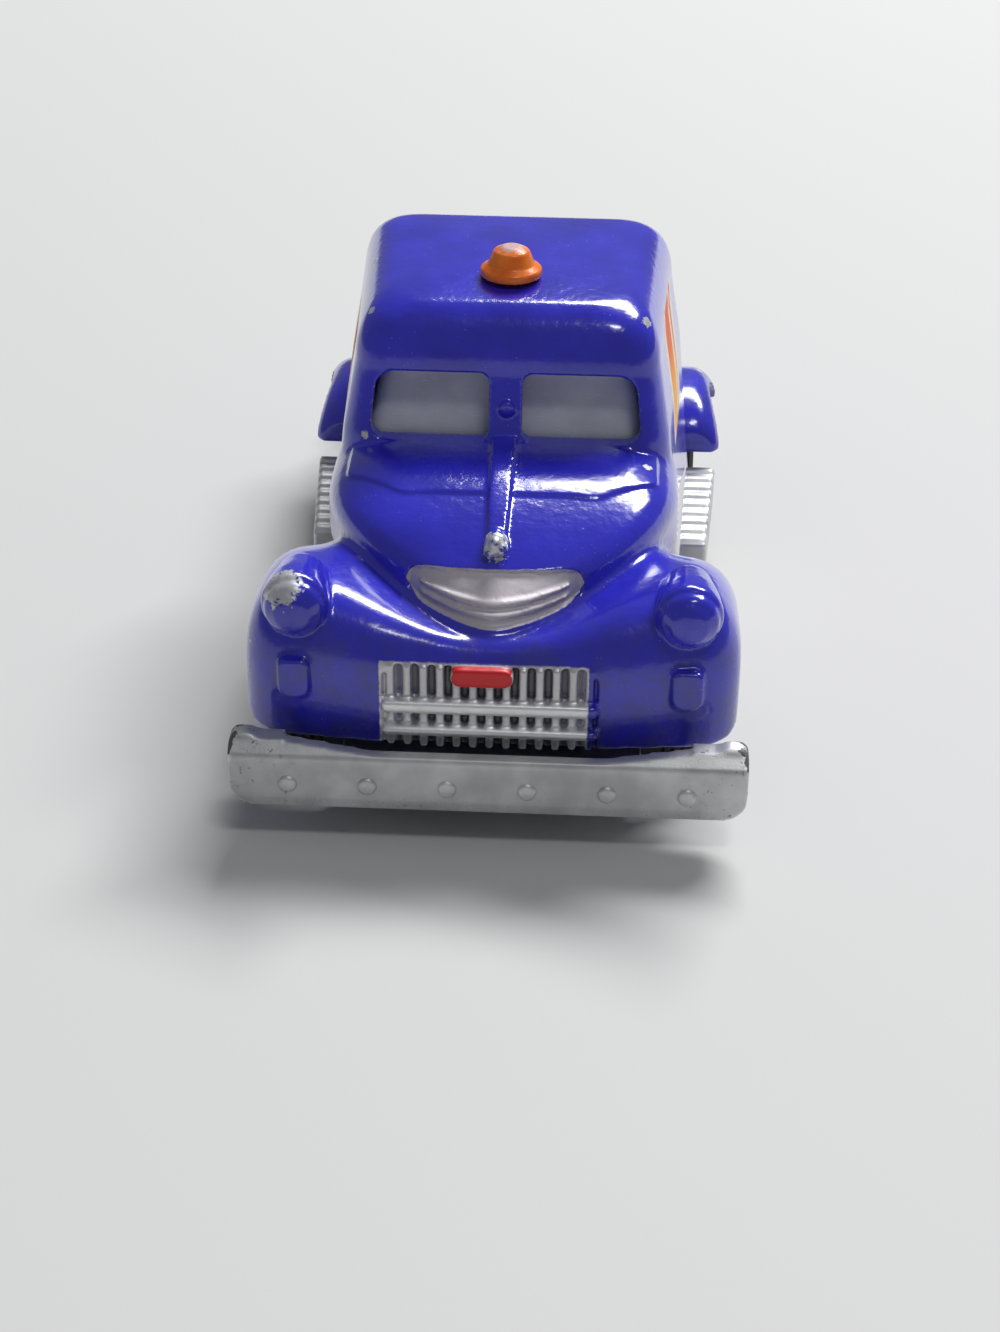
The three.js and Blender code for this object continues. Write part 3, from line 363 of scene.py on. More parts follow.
# %% Apron form
FENDER_CROWN = FENDER_HALF - FENDER_SOFT
FENDER_SHOULDER = mid(SILL, FENDER_TOP, 0.45)
FENDER_TAIL, FENDER_PEAK, FENDER_SPRING = 7.8, 3.3, 9
APRON_BOW, BROW = 1.3, 1.8
SIDE_ROUND, FOOT_ROUND, EDGE_RISE, SLACK = 2.6, 0.9, 0.8, 0.02


def side_drawn(out, rounding, rise):
    return drawn_in(out - FENDER_HALF + rounding, rounding + SLACK, rise)


def apron_front(out):
    return APRON_FRONT + APRON_BOW * (out / FENDER_HALF) ** 2 + side_drawn(out, SIDE_ROUND, SIDE_ROUND)


def apron_top(out):
    if out <= FENDER_CROWN:
        return mid(APRON_TOP, FENDER_TOP, smooth(out, 1, FENDER_CROWN))
    return FENDER_TOP - drawn_in(out - FENDER_CROWN, FENDER_SOFT + SLACK, FENDER_TOP - FENDER_SHOULDER)


def apron_ring(x):
    out = abs(x)
    share = smooth(out, 2, FENDER_CROWN)
    top, front = apron_top(out), apron_front(out)
    bottom = APRON_BOTTOM + side_drawn(out, FOOT_ROUND, EDGE_RISE)
    tail = mid(CAB_FRONT + 2, FRONT_AXLE + FENDER_TAIL, share) - side_drawn(out, SIDE_ROUND, EDGE_RISE)
    crown = mid(front + BROW, FRONT_AXLE - FENDER_PEAK, share)
    spring = min(mid(APRON_TOP - BROW, FENDER_SPRING, share), mid(bottom, top, 0.5))
    square, sweep = mid(2, 2.5, share), mid(9, 2, share)
    foot = mid(bottom, top, 0.08)
    ring = [Vector((x, mid(tail, front, i / 24), bottom)) for i in range(24)]
    ring += [Vector((x, front, mid(bottom, spring, i / 10))) for i in range(10)]
    for step in range(21):
        ahead, up = swung(step * math.pi / 40, square)
        ring.append(Vector((x, crown - (crown - front) * ahead, spring + (top - spring) * up)))
    for step in range(1, 29):
        up, behind = swung(step * math.pi / 56, sweep)
        ring.append(Vector((x, crown + (tail - crown) * behind, foot + (top - foot) * up)))
    return ring


def apron_rings():
    outs = [0.1 * FENDER_HALF * step / 12 * 8 for step in range(1, 13)]
    outs += [FENDER_HALF * (0.8 + 0.198 * math.sin(step * math.pi / 48)) for step in range(1, 25)]
    return [apron_ring(x) for x in [-out for out in reversed(outs)] + [0] + outs]


print("The apron has", len(apron_rings()), "rings")

# %% [markdown]
# The three forms are joined and melted together. A plain union would leave a hard line where the hood meets
# the fenders, and on the toy it flows.

# %% Cab blank
cab = joined("cab_shell", skin("cab", cab_rings(0, SILL)), skin("hood", hood_rings(0)),
             skin("apron", apron_rings()))
melted(cab, 0.22, 14)
print("Cab blank:", len(cab.data.polygons), "faces")

# %% [markdown]
# The blank is hollowed and cut: the cab's room, the engine bay, the wheel wells, the windows, the sunk
# field of the lower grille and the smiling upper grille, whose bars stay standing. Cutting after the melt
# keeps these edges crisp.

# %% Cab cutters
WELL_RADIUS, WELL_INNER, BAY_HALF, AXLE_WAY = 5.4, 9.5, 8.2, 0.85
OUTSIDE = 30
PANE_NEAR, PANE_FAR, PANE_HIGH, PANE_FOOT = 1.1, 9.0, 8.5, BELT + 0.15


def wheel_room(axle):
    tools = []
    for side in (1, -1):
        inner, outer = side * WELL_INNER, side * OUTSIDE
        profile = [(0, inner), (WELL_RADIUS, inner), (WELL_RADIUS, outer), (0, outer)]
        tools.append(turned("well", profile, "x", (0, axle, AXLE_HEIGHT), 96))
    return tools + [block("way", -20, 20, axle - AXLE_WAY, axle + AXLE_WAY, 0, AXLE_HEIGHT + AXLE_WAY)]


def pane(side):
    near, far, high = side * PANE_NEAR, side * PANE_FAR, side * PANE_HIGH
    corners = [(near, PANE_FOOT, 0.6), (far, PANE_FOOT, 0.9), (high, HEADER, 1.4), (near, HEADER, 0.7)]
    return slab("pane", rounded(corners), "y", CAB_FRONT - 2, CAB_FRONT + 5)


def crescent(half, top_end, top_mid, low_mid, low_end, blunt):
    outline = []
    for step in range(96):
        share, up = swung(step * math.pi / 48, blunt)
        upper = top_mid + (top_end - top_mid) * share**2
        lower = low_mid + (low_end - low_mid) * share**2
        outline.append((half * share, mid(lower, upper, 0.5 + 0.5 * up)))
    return outline


def smile():
    low = APRON_TOP
    mouth = crescent(5.5, low + 2.7, low + 2.9, low + 0.45, low + 1.1, 6)
    opening = slab("smile", mouth, "y", -2, CAB_FRONT)
    for rise in (0.95, 1.5):
        bar = crescent(4.7, low + rise + 0.62, low + rise + 0.25, low + rise, low + rise + 0.37, 3)
        cut(opening, slab("bar", bar, "y", -3, CAB_FRONT + 1))
    return cut(opening, skin("hood_low", hood_rings(0.3)))


# %% Cab after cutting
rear_window = rounded(mirrored([(7.6, PANE_FOOT, 0.9), (7.2, HEADER, 1.2)]))
grille_field = rounded(mirrored([(GRILLE_HALF, APRON_BOTTOM - 1, 0.2), (GRILLE_HALF, GRILLE_TOP, 1)]))
cut(cab, skin("room", cab_rings(WALL, 1)),
    block("bay", -BAY_HALF, BAY_HALF, 4.55, 21.3, 0, APRON_TOP - WALL),
    *wheel_room(FRONT_AXLE), pane(1), pane(-1),
    slab("rear_window", rear_window, "y", CAB_BACK - 4, CAB_BACK + 3),
    slab("field", grille_field, "y", -2, APRON_FRONT + 0.75), smile())
print("Cab after cutting:", len(cab.data.polygons), "faces")

# %% [markdown]
# The headlamps are domes in bulging cups and the parking lamps are small pads, all cast with the fenders.
# A half ball would do for a dome, but the rim round it shows, so a lamp is a turned profile.

# %% Lamps
HEADLAMP_RADIUS, HEADLAMP_OUT, PARKING_OUT = 2.1, 12, 12.1


def headlamp(side):
    dome = [(0, -0.72, 0), (0.5, -0.62, 0.6), (0.84, -0.3, 0.6), (0.92, 0.04, 0.1)]
    cup = [(1, 0, 0.15), (1, 0.3, 0.2), (0.93, 0.9, 0.8), (0.7, 2, 0.8), (0, 2.9, 0)]
    profile = [(out * HEADLAMP_RADIUS, along * HEADLAMP_RADIUS, soft) for out, along, soft in dome + cup]
    centre = (side * HEADLAMP_OUT, FRONT_AXLE - 7, FENDER_TOP - 0.4)
    return turned("headlamp", rounded(profile, closed=False), "y", centre)


def parking_lamp(side):
    x, z = side * PARKING_OUT, FENDER_TOP - 5
    face = apron_front(abs(x))
    corners = [(x - 1, z - 1.3, 0.8), (x + 1, z - 1.3, 0.8), (x + 1, z + 1.4, 0.5), (x - 1, z + 1.4, 0.5)]
    return slab("parking_lamp", rounded(corners), "y", face - 0.55, face + 0.6, 0.18)


lamps = [made(side) for made in (headlamp, parking_lamp) for side in (1, -1)]
print("Lamps:", len(lamps))

# %% [markdown]
# The lower grille has upright ribs behind two crossbars, and a bare boss where a badge would be. The ribs
# could be an array, but each one follows the bow of the apron, so a loop places them.

# %% Lower grille
RIBS, RIB_HALF, GRILLE_BACK = 13, 0.25, APRON_FRONT + 1.15
BADGE_X, BADGE_Z, BADGE_HALF, BADGE_RISE = -0.47, GRILLE_TOP - 0.55, 1.93, 0.62


def grille_height(share):
    return mid(APRON_BOTTOM, GRILLE_TOP, share)


def grille():
    bars = []
    pitch = 2 * GRILLE_HALF / RIBS
    for rib in range(RIBS):
        x = -GRILLE_HALF + pitch * (rib + 0.5)
        face = APRON_FRONT + 0.12 + APRON_BOW * (x / FENDER_HALF) ** 2
        bars.append(block("rib", x - RIB_HALF, x + RIB_HALF, face, GRILLE_BACK,
                          APRON_BOTTOM, GRILLE_TOP, 0.08))
    for low, high in ((0.45, 0.6), (0.17, 0.28)):
        bars.append(block("crossbar", -GRILLE_HALF, GRILLE_HALF, APRON_FRONT - 0.3, GRILLE_BACK,
                          grille_height(low), grille_height(high), 0.24))
    return bars


badge = rounded([(BADGE_X + a * BADGE_HALF, BADGE_Z + b * BADGE_RISE, 0.97 * BADGE_RISE)
                 for a, b in ((-1, -1), (1, -1), (1, 1), (-1, 1))])
bars = grille()
print("Grille bars:", len(bars))

# %% [markdown]
# A spine runs up the hood from a small ornament, and a low panel lies before the windscreen. Both follow the
# hood, so each is a slab kept only inside a slightly larger hood. The ornament is turned, with three buds at
# its tip. A mould pin left a round mark on the windscreen post.

# %% Hood trim
COWL_HALF, COWL_START = BELT_HALF - 1.9, CAB_FRONT - 6


def on_hood(name, points, rise):
    return kept(slab(name, points, "z", APRON_TOP, OUTSIDE), skin("hood_high", hood_rings(-rise)))


nose = mid(HOOD_NOSE, CAB_FRONT, 0.28)
spine = mirrored([(0.55, nose), (0.85, CAB_FRONT + 1)])
cowl = rounded(mirrored([(0.62 * COWL_HALF, COWL_START, 1.5), (COWL_HALF, COWL_START + 2.6, 1),
                         (COWL_HALF, CAB_FRONT + 1, 0)]))
tip = Vector((0, mid(HOOD_NOSE, CAB_FRONT, 0.24), mid(APRON_TOP, HOOD_TOP, 0.684)))
ornament = rounded([(0, 0, 0), (0.5, 0.1, 0.3), (0.82, 1.1, 0.7), (0.55, 2.1, 0.6), (0, 2.8, 0)],
                   closed=False)
bud = rounded([(0, -0.2, 0), (0.36, -0.08, 0.25), (0.42, 0.5, 0.35), (0, 1.3, 0)], closed=False)
buds = [tip + Vector(way) for way in ((-0.36, -0.05, -0.1), (0.4, -0.05, 0.05), (0, 0.05, 0.42))]
pin_mark = [(0, -0.28), (0.42, -0.28), (0.5, -0.2), (0.5, 0.6), (0, 0.6)]
print("Ornament at", [round(part, 2) for part in tip])

# %% Cab casting
cab = joined(
    "cab_shell", cab, *bars, *lamps, on_hood("spine", spine, 0.5), on_hood("cowl", cowl, 0.16),
    turned("ornament", ornament, "y", tip, 32), *[turned("bud", bud, "y", place, 24) for place in buds],
    slab("badge", badge, "y", APRON_FRONT - 0.22, GRILLE_BACK, 0.12),
    turned("pin_mark", pin_mark, "y", (0.1, CAB_FRONT + 0.55, 20.6), 32))
melted(cab, 0.125, 4)
thinned(cab, 190000)
print("Cab casting:", len(cab.data.polygons), "faces")

# %% [markdown]
# ## The cargo bed
#
# The bed is a low open box behind the cab, cast with its own rounded rear fenders. It is made as the cab is:
# solids first, then one melted skin. Its floor has ribs, and its walls have stakes and a top rail.

# %% Bed measures
BED_HALF, BED_FRONT, BED_BACK = 11.0, 42.3, 60.0
BED_UNDERSIDE, BED_FLOOR, BED_TOP = 10.25, 11.35, 16.75
FENDER_FOOT, REAR_ROUND, REAR_SQUARE = 7.4, 2.2, 2.3


def box_ring(half, front, back, radius):
    return rounded(mirrored([(half, front, radius), (half, back, radius)]))


def rear_fender_ring(x):
    drawn = side_drawn(abs(x), REAR_ROUND, 1)
    room = math.sqrt(WELL_RADIUS**2 - (FENDER_FOOT - AXLE_HEIGHT) ** 2)
    half = (room + 1.2) * (1 - 0.2 * drawn)
    top = mid(BED_UNDERSIDE + 0.9, FENDER_FOOT + 0.4, drawn)
    ring = []
    for step in range(49):
        behind, up = swung(step * math.pi / 48, REAR_SQUARE)
        ring.append(Vector((x, REAR_AXLE + half * behind, FENDER_FOOT + (top - FENDER_FOOT) * up)))
    return ring


def rear_fender(side):
    outs = [BED_HALF - 1, FENDER_HALF - REAR_ROUND]
    outs += [FENDER_HALF - REAR_ROUND + REAR_ROUND * math.sin(step * math.pi / 40) for step in range(1, 21)]
    return skin("rear_fender", [rear_fender_ring(side * out) for out in outs])


print("The bed is", BED_BACK - BED_FRONT, "mm long")

# %% Bed blank
STAKES = 4


def stake(number):
    y = BED_FRONT + 1.6 + (BED_BACK - BED_FRONT - 3.2) * number / (STAKES - 1)
    return slab("stake", box_ring(BED_HALF + 0.45, y - 0.6, y + 0.6, 0.25), "z", SILL + 0.8, BED_TOP - 0.4)


def tail_lamp(side):
    profile = [(0, -1), (0.85, -1), (0.85, 0.3), (0.72, 0.5), (0.4, 0.64), (0, 0.7)]
    return turned("tail_lamp", profile, "y", (side * (BED_HALF - 1.3), BED_BACK, BED_FLOOR - 2), 40)


bed = joined(
    "bed_shell", slab("box", box_ring(BED_HALF, BED_FRONT, BED_BACK, 1), "z", SILL, BED_TOP),
    rear_fender(1), rear_fender(-1), *[stake(number) for number in range(STAKES)],
    slab("rail", box_ring(BED_HALF + 0.4, BED_FRONT, BED_BACK + 0.4, 0.9), "z", BED_TOP - 1.1, BED_TOP),
    slab("tail", box_ring(8.4, 7.95, 14.95, 0.6), "y", BED_BACK - 0.6, BED_BACK + 0.4),
    tail_lamp(1), tail_lamp(-1))
melted(bed, 0.2, 5)
print("Bed blank:", len(bed.data.polygons), "faces")

# %% [markdown]
# The hollow of the bed, the room underneath and the wheel wells are cut afterwards, so that their edges stay
# crisp until the second melt takes the last sharpness off. Cut before the first one, they would go soft.

# %% Bed cutting
hollow = box_ring(BED_HALF - WALL, BED_FRONT + WALL, BED_BACK - WALL, 0.6)
cut(bed, slab("hollow", hollow, "z", BED_FLOOR, 40),
    block("under", -BAY_HALF, BAY_HALF, BED_FRONT + WALL, BED_BACK - WALL, 0, BED_UNDERSIDE),
    *wheel_room(REAR_AXLE), block("clear", -20, 20, BED_FRONT - 5, BED_FRONT, 0, OUTSIDE))
floor_ribs = []
for number in range(-3, 4):
    x = number * (BED_HALF - WALL) / 3.6
    floor_ribs.append(block("rib", x - 0.3, x + 0.3, BED_FRONT + WALL - 0.2, BED_BACK - WALL + 0.2,
                            BED_FLOOR - 0.3, BED_FLOOR + 0.3, 0.1))
bed = joined("bed_shell", bed, *floor_ribs)
melted(bed, 0.14, 3)
thinned(bed, 120000)
print("Bed casting:", len(bed.data.polygons), "faces")

# %% [markdown]
# ## The base
#
# One grey piece carries both bumpers, the ribbed side steps, the axle bearings and two rails underneath.
# The front bumper is an outline seen from the front, kept only where its side profile allows, which gives
# both curves without a bevel. Its upper edge sags a little, and a trough behind it leaves the dark gap
# below the grille. Six low bumps are set on after the melt, so they stay crisp.

# %% Front bumper
BUMPER_LOW, BUMPER_HIGH, BUMPER_HALF, BUMPER_DEPTH = 2.5, 6.9, 16.0, 2.2
BUMPS, BUMP_PITCH = 6, 4.92


def front_bumper():
    low, high, lip, over = BUMPER_LOW, BUMPER_HIGH, BUMPER_HIGH + 0.3, BUMPER_HIGH + 1
    half = [(BUMPER_HALF, low, 1.6), (BUMPER_HALF, lip, 0.7), (BUMPER_HALF - 1.2, lip, 0.4),
            (BUMPER_HALF - 2, high, 0.3)]
    side = [(0.25, low - 0.4, 0.3), (BUMPER_DEPTH, low - 0.4, 0.1), (BUMPER_DEPTH, over, 0.1),
            (1.6, over, 0.1), (0.8, high - 0.1, 0.5), (0, high - 0.7, 0.5), (0, low + 0.7, 0.5)]
    return kept(slab("bumper", rounded(mirrored(half)), "y", 0, BUMPER_DEPTH),
                slab("profile", rounded(side), "x", -OUTSIDE, OUTSIDE))


def bumper_gap():
    wide, narrow, back, over = BUMPER_HALF - 3.4, BUMPER_HALF - 9, BUMPER_DEPTH + 0.2, BUMPER_HIGH + 2
    plan = [(-wide, back), (-wide, 1.7), (-narrow, 0.95), (narrow, 0.95), (wide, 1.7), (wide, back)]
    edge = BUMPER_HIGH - 0.05
    low = edge - 0.5
    sag = [(-wide, over), (-wide, edge), (-narrow, low), (narrow, low), (wide, edge), (wide, over)]
    return slab("trough", plan, "z", BASE_TOP + 0.1, over), slab("sag", sag, "y", -1, back)


def bump(number):
    profile = [(0, -BUMP_RISE), (0.42, -0.96 * BUMP_RISE), (0.54, -0.7 * BUMP_RISE), (0.6, 0), (0.6, 0.6),
               (0, 0.6)]
    x = (number - (BUMPS - 1) / 2) * BUMP_PITCH
    return turned("bump", profile, "y", (x, 0, BUMPER_LOW + 1.76), 32)


print("The bumper is", 2 * BUMPER_HALF, "mm wide")

# %% Steps and bearings
STEP_FRONT, STEP_BACK, STEP_NEAR, STEP_OUTER, STEP_TOP = 29.5, 42.1, 12.0, 15.2, 6.25
TREADS, TREAD_PITCH = 9, 1.4
SLOT = 0.65


def step_plan(side, inset):
    front, back = STEP_FRONT + inset, STEP_BACK - inset
    points = [(STEP_NEAR, front), (STEP_OUTER - 1 - inset, front), (STEP_OUTER - inset, back),
              (STEP_NEAR, back)]
    return [(side * x, y) for x, y in points]


def side_step(side):
    step = [slab("step", step_plan(side, 0), "z", BASE_BOTTOM + 0.2, STEP_TOP, 0.12)]
    for number in range(TREADS):
        y = STEP_FRONT + TREAD_PITCH * (number + 0.5)
        rib = block("tread", -20, 20, y - 0.34, y + 0.34, STEP_TOP - 0.2, STEP_TOP + 0.25, 0.1)
        step.append(kept(rib, slab("inside", step_plan(side, 0.15), "z", 0, 20)))
    return step


def bearing(axle, side):
    near, far = sorted((side * (BAY_HALF - 3), side * (BAY_HALF - 0.3)))
    made = block("bearing", near, far, axle - 1.9, axle + 1.9, BASE_TOP - 0.2, 6.1, 0.1)
    turns = [step * math.pi / 16 for step in range(17)]
    cradle = [(axle - SLOT * math.cos(turn), AXLE_HEIGHT - SLOT * math.sin(turn)) for turn in turns]
    slot = [(axle - SLOT, 20)] + cradle + [(axle + SLOT, 20)]
    return cut(made, slab("slot", slot, "x", -OUTSIDE, OUTSIDE))


print("Side steps have", TREADS, "ribs each")

# %% Base shell
RIVETS = (17.6, 55.376)
RAIL_OUT = 6.935
half_plate = [(9.5, 1.8), (9.5, 17), (12.4, 18.2), (12.4, 40.6), (9.5, 41.8), (9.5, 53.8), (10.6, 55),
              (10.6, 62)]
tail_bumper = mirrored([(12.4, 61.6, 0.3), (12.4, LENGTH, 0.8)])
rails = [block("rail", x - 0.6, x + 0.6, 5, 56.8, BASE_BOTTOM - 0.5, BASE_BOTTOM + 0.3, 0.15)
         for x in (RAIL_OUT, -RAIL_OUT)]
base = joined(
    "base_shell", slab("plate", mirrored(half_plate), "z", BASE_BOTTOM, BASE_TOP), front_bumper(),
    *side_step(1), *side_step(-1),
    *[bearing(axle, side) for axle in (FRONT_AXLE, REAR_AXLE) for side in (1, -1)],
    slab("tail_bumper", rounded(tail_bumper), "z", 2.5, 7.2, 0.3), *rails)
cut(base, *bumper_gap())
melted(base, 0.15, 2)
for number in range(BUMPS):
    worked(base, bump(number), "UNION")
seat_top = BASE_BOTTOM + 0.45
rivet_seat = [(0, 0), (1.85, 0), (1.85, seat_top), (1.05, seat_top), (1.05, 8), (0, 8)]
cut(base, *[turned("hole", rivet_seat, "z", (0, station, 0), 48) for station in RIVETS])
thinned(base, 150000)
print("Base:", len(base.data.polygons), "faces")

# %% [markdown]
# ## Small turned and moulded pieces
#
# Tyres, hubs, axles and rivets are round on the toy, so each is a profile spun once round its axis. A
# cylinder with bevels would come close, but a profile also gives tread grooves, rims and nail heads.

# %% Wheels
TYRE_RADIUS, TYRE_INNER, TYRE_OUTER, TYRE_BORE = 4.85, 10.0, 13.6, 2.9
GROOVES, GROOVE_DEPTH = (0.9, 1.5, 2.1, 2.7), 0.3


def on_axle(name, profile, axle, side, steps):
    points = [(point.x, side * point.y) for point in rounded(profile, steps=4)]
    return turned(name, points, "x", (0, axle, AXLE_HEIGHT), steps, closed=True)


def tyre(name, axle, side):
    r, near, far = TYRE_RADIUS, TYRE_INNER, TYRE_OUTER
    profile = [(TYRE_BORE, near, 0.1), (r - 0.9, near, 0.25), (r - 0.2, near + 0.35, 0.4),
               (r, near + 0.9, 0.3)]
    for groove in GROOVES:
        bottom = r - GROOVE_DEPTH
        profile += [(r, near + groove - 0.14 + 0.01, 0.03), (bottom, near + groove - 0.08, 0.03),
                    (bottom, near + groove + 0.08, 0.03), (r, near + groove + 0.14, 0.03)]
    profile += [(r, far - 0.6, 0.1), (r - 0.2, far - 0.3, 0.2), (r - 0.9, far, 0.25), (r - 1.25, far, 0.05),
                (r - 1.35, far - 0.14, 0.05), (r - 1.55, far - 0.14, 0.05), (r - 1.65, far, 0.05),
                (TYRE_BORE, far, 0.1)]
    return on_axle(name, profile, axle, side, 112)


def hub(name, axle, side):
    profile = [(0.65, 10.3, 0.05), (2.8, 10.3, 0.1), (2.8, 13.2, 0.12), (2.25, 13.2, 0.12),
               (1.95, 12.45, 0.2), (1.55, 12.45, 0.15), (1.25, 12.95, 0.15), (1.12, 12.95, 0.05),
               (1.12, 12.15, 0.03), (0.65, 12.15, 0.03)]
    return on_axle(name, profile, axle, side, 96)


wheels = {}
for end, axle in (("front", FRONT_AXLE), ("rear", REAR_AXLE)):
    for hand, side in (("left", 1), ("right", -1)):
        place = f"{end}_{hand}"
        wheels[place] = (tyre(f"rubber_{place}", axle, side), hub(f"disc_{place}", axle, side))
print("Wheels:", ", ".join(wheels))


# %% Axles and rivets
def axle_shaft(name, axle):
    half = [(0, 13.0, 0), (0.62, 12.94, 0.3), (1, 12.62, 0.25), (1, 12.25, 0.05), (0.55, 12.25, 0.05)]
    profile = half + [(radius, -along, soft) for radius, along, soft in reversed(half)]
    return turned(name, rounded(profile, steps=4, closed=False), "x", (0, axle, AXLE_HEIGHT), 64)


def rivet(name, station):
    profile = [(0, 2.56, 0), (1.05, 2.66, 0.4), (1.75, 3.0, 0.15), (1.75, 3.15, 0.05), (0.95, 3.15, 0.05),
               (0.95, 8.6, 0.2), (0, 8.6, 0)]
    return turned(name, rounded(profile, steps=4, closed=False), "z", (0, station, 0), 64)


axles = {"front": axle_shaft("pin_front", FRONT_AXLE), "rear": axle_shaft("pin_rear", REAR_AXLE)}
rivets = {"front": rivet("stud_front", RIVETS[0]), "rear": rivet("stud_rear", RIVETS[1])}
print("Axles and rivets:", len(axles) + len(rivets))

# %% [markdown]
# The beacon is a flanged dome on a peg, turned as the lamps are. The window insert is one clear shell inside
# the cab. It could be four flat panes, but it follows the roof's curve, so it is the cab's own skin twice,
# drawn in.

# %% Beacon and windows
BEACON_STATION, BEACON_LOW, PEG_FOOT = 27.4, ROOF + CROWN + 0.06, ROOF - WALL + 0.2
low = BEACON_LOW
dome_profile = [(0, PEG_FOOT, 0), (0.62, PEG_FOOT, 0.1), (0.62, low, 0.05), (2.05, low, 0.15),
                (2.05, low + 0.5, 0.25), (1.55, low + 0.85, 0.3), (1.2, low + 1.7, 0.35), (0.6, low + 2, 0.5),
                (0, low + 2, 0)]
beacon = turned("lamp_dome", rounded(dome_profile, closed=False), "z", (0, BEACON_STATION, 0), 96)
panes = cut(skin("pane_shell", cab_rings(WALL + 0.3, BELT - 1)),
            skin("pane_room", cab_rings(WALL + 1.1, BELT - 3)))
print("Beacon and windows:", len(beacon.data.polygons), len(panes.data.polygons), "faces")

# %% [markdown]
# ## Worn edges
#
# Paint goes first where a casting stands out. A shader can guess at edges while it renders. Here they are
# measured from the mesh and kept as an attribute, so the wear is the same in every view.

# %% Edge attribute
def feel_edges(obj, rounds):
    bm = bmesh.new()
    bm.from_mesh(obj.data)
    bm.normal_update()
    bm.verts.ensure_lookup_table()
    near = [[edge.other_vert(vert).index for edge in vert.link_edges] for vert in bm.verts]
    bent = []
    for vert in bm.verts:
        ways = [edge.other_vert(vert).co - vert.co for edge in vert.link_edges]
        spread = max(sum(way.dot(way) for way in ways), 1e-9)
        bent.append(-2 * sum(way.dot(vert.normal) for way in ways) / spread)
    for _ in range(rounds):
        bent = [0.5 * value + 0.5 * sum(bent[i] for i in near[j]) / max(len(near[j]), 1)
                for j, value in enumerate(bent)]
    bm.free()
    layer = obj.data.attributes.new("edge", "FLOAT", "POINT")
    layer.data.foreach_set("value", bent)
    return sorted(bent)[int(0.98 * len(bent))]


for casting in (cab, bed, base):
    print(casting.name, "stands out by up to", round(feel_edges(casting, 4), 2), "per mm")

# %% [markdown]
# ## Finishes
#
# Nodes could be dragged together by hand. Here a wire stands for one value in a material, sums of wires add
# Math nodes, and one method adds any other node, so a finish reads like a sum.

# %% Wires
class Wire:
    def __init__(self, tree, socket=None):
        self.tree = tree
        self.socket = socket

    def node(self, kind, settings=None, sockets=None, out=0):
        made = self.tree.nodes.new("ShaderNode" + kind)
        for name, value in (settings or {}).items():
            setattr(made, name, value)
        for key, value in (sockets or {}).items():
            if isinstance(value, Wire):
                self.tree.links.new(value.socket, made.inputs[key])
            else:
                made.inputs[key].default_value = value
        return Wire(self.tree, made.outputs[out])

    def math(self, operation, *values):
        return self.node("Math", {"operation": operation}, dict(enumerate(values)))

    def __add__(self, other):
        return self.math("ADD", self, other)

    def __sub__(self, other):
        return self.math("SUBTRACT", self, other)

    def __rsub__(self, other):
        return self.math("SUBTRACT", other, self)

    def __mul__(self, other):
        return self.math("MULTIPLY", self, other)

    def __abs__(self):
        return self.math("ABSOLUTE", self)

    __radd__ = __add__
    __rmul__ = __mul__

# %% [markdown]
# Most marks are masks between 0 and 1: a soft step, a band, one of two, a grain. Every finish reads Object
# coordinates, turned into millimetres and stations, so a mark of the photographed truck can be put where it
# is. A painted picture would need unwrapping and would blur close up.

# %% Masks
def ramp(value, low, high):
    return value.node("MapRange", {"interpolation_type": "SMOOTHSTEP"},
                      {"Value": value, "From Min": low, "From Max": high})


def within(value, low, high, soft):
    return ramp(value, low - soft, low + soft) * (1 - ramp(value, high - soft, high + soft))


def either(a, b):
    return a.math("MAXIMUM", a, b)


def noise(point, scale, detail=2.0, rough=0.5):
    return point.node("TexNoise", None,
                      {"Vector": point, "Scale": scale, "Detail": detail, "Roughness": rough})


def stretched(point, x, y, z):
    return point.node("VectorMath", {"operation": "MULTIPLY"}, {0: point, 1: (x, y, z)})


def split(point):
    return [point.node("SeparateXYZ", None, {0: point}, axis) for axis in "XYZ"]


def edge_of(point):
    return point.node("Attribute", {"attribute_name": "edge"}, None, "Fac")


# %% Colours and finishes
def blended(mask, a, b):
    return mask.node("Mix", {"data_type": "RGBA"}, {0: mask, 6: a, 7: b}, 2)


def tint(*parts):
    shares = [part / 255 for part in parts]
    return (*[((share + 0.055) / 1.055) ** 2.4 if share > 0.04 else share / 12.92 for share in shares], 1)


def finish(name):
    material = bpy.data.materials.new(name)
    material.use_nodes = True
    tree = material.node_tree
    place = Wire(tree).node("TexCoord", out="Object")
    to_station = {0: place, 1: (1000, 1000, 1000), 2: (0, (LENGTH - BUMP_RISE) / 2, 0)}
    point = place.node("VectorMath", {"operation": "MULTIPLY_ADD"}, to_station)
    return material, tree.nodes["Principled BSDF"], point


def feed(shader, **looks):
    for name, value in looks.items():
        socket = shader.inputs[name.replace("_", " ").title().replace("Ior", "IOR")]
        if isinstance(value, Wire):
            value.tree.links.new(value.socket, socket)
        else:
            socket.default_value = value


def relief(height, depth):
    return height.node("Bump", None, {"Strength": 1.0, "Distance": depth / 1000, "Height": height})

# %% [markdown]
# The enamel is a deep blue gloss that pooled a little unevenly. Lower down it has greyer, darker patches:
# painted shade in the blue of the shaded nose, mixed with grime. It has chipped to bright metal on a few
# edges and at known spots: a headlamp and the tip of the spine. The pale spots listed on the roof's rim and
# by the cowl are partly chips and partly painted highlights. The gloss is a coat, so that a chip can lose it.

# %% Enamel
# The third blue is a greyed dark blue laid on lower down: painted shade, mixed with grime.
DEEP, BRIGHT, GRIME_SHADE_BLUE, SPECK = tint(42, 40, 182), tint(50, 48, 204), tint(58, 62, 96), tint(190, 192, 210)
PALE_METAL, DULL = tint(232, 234, 236), tint(158, 160, 166)


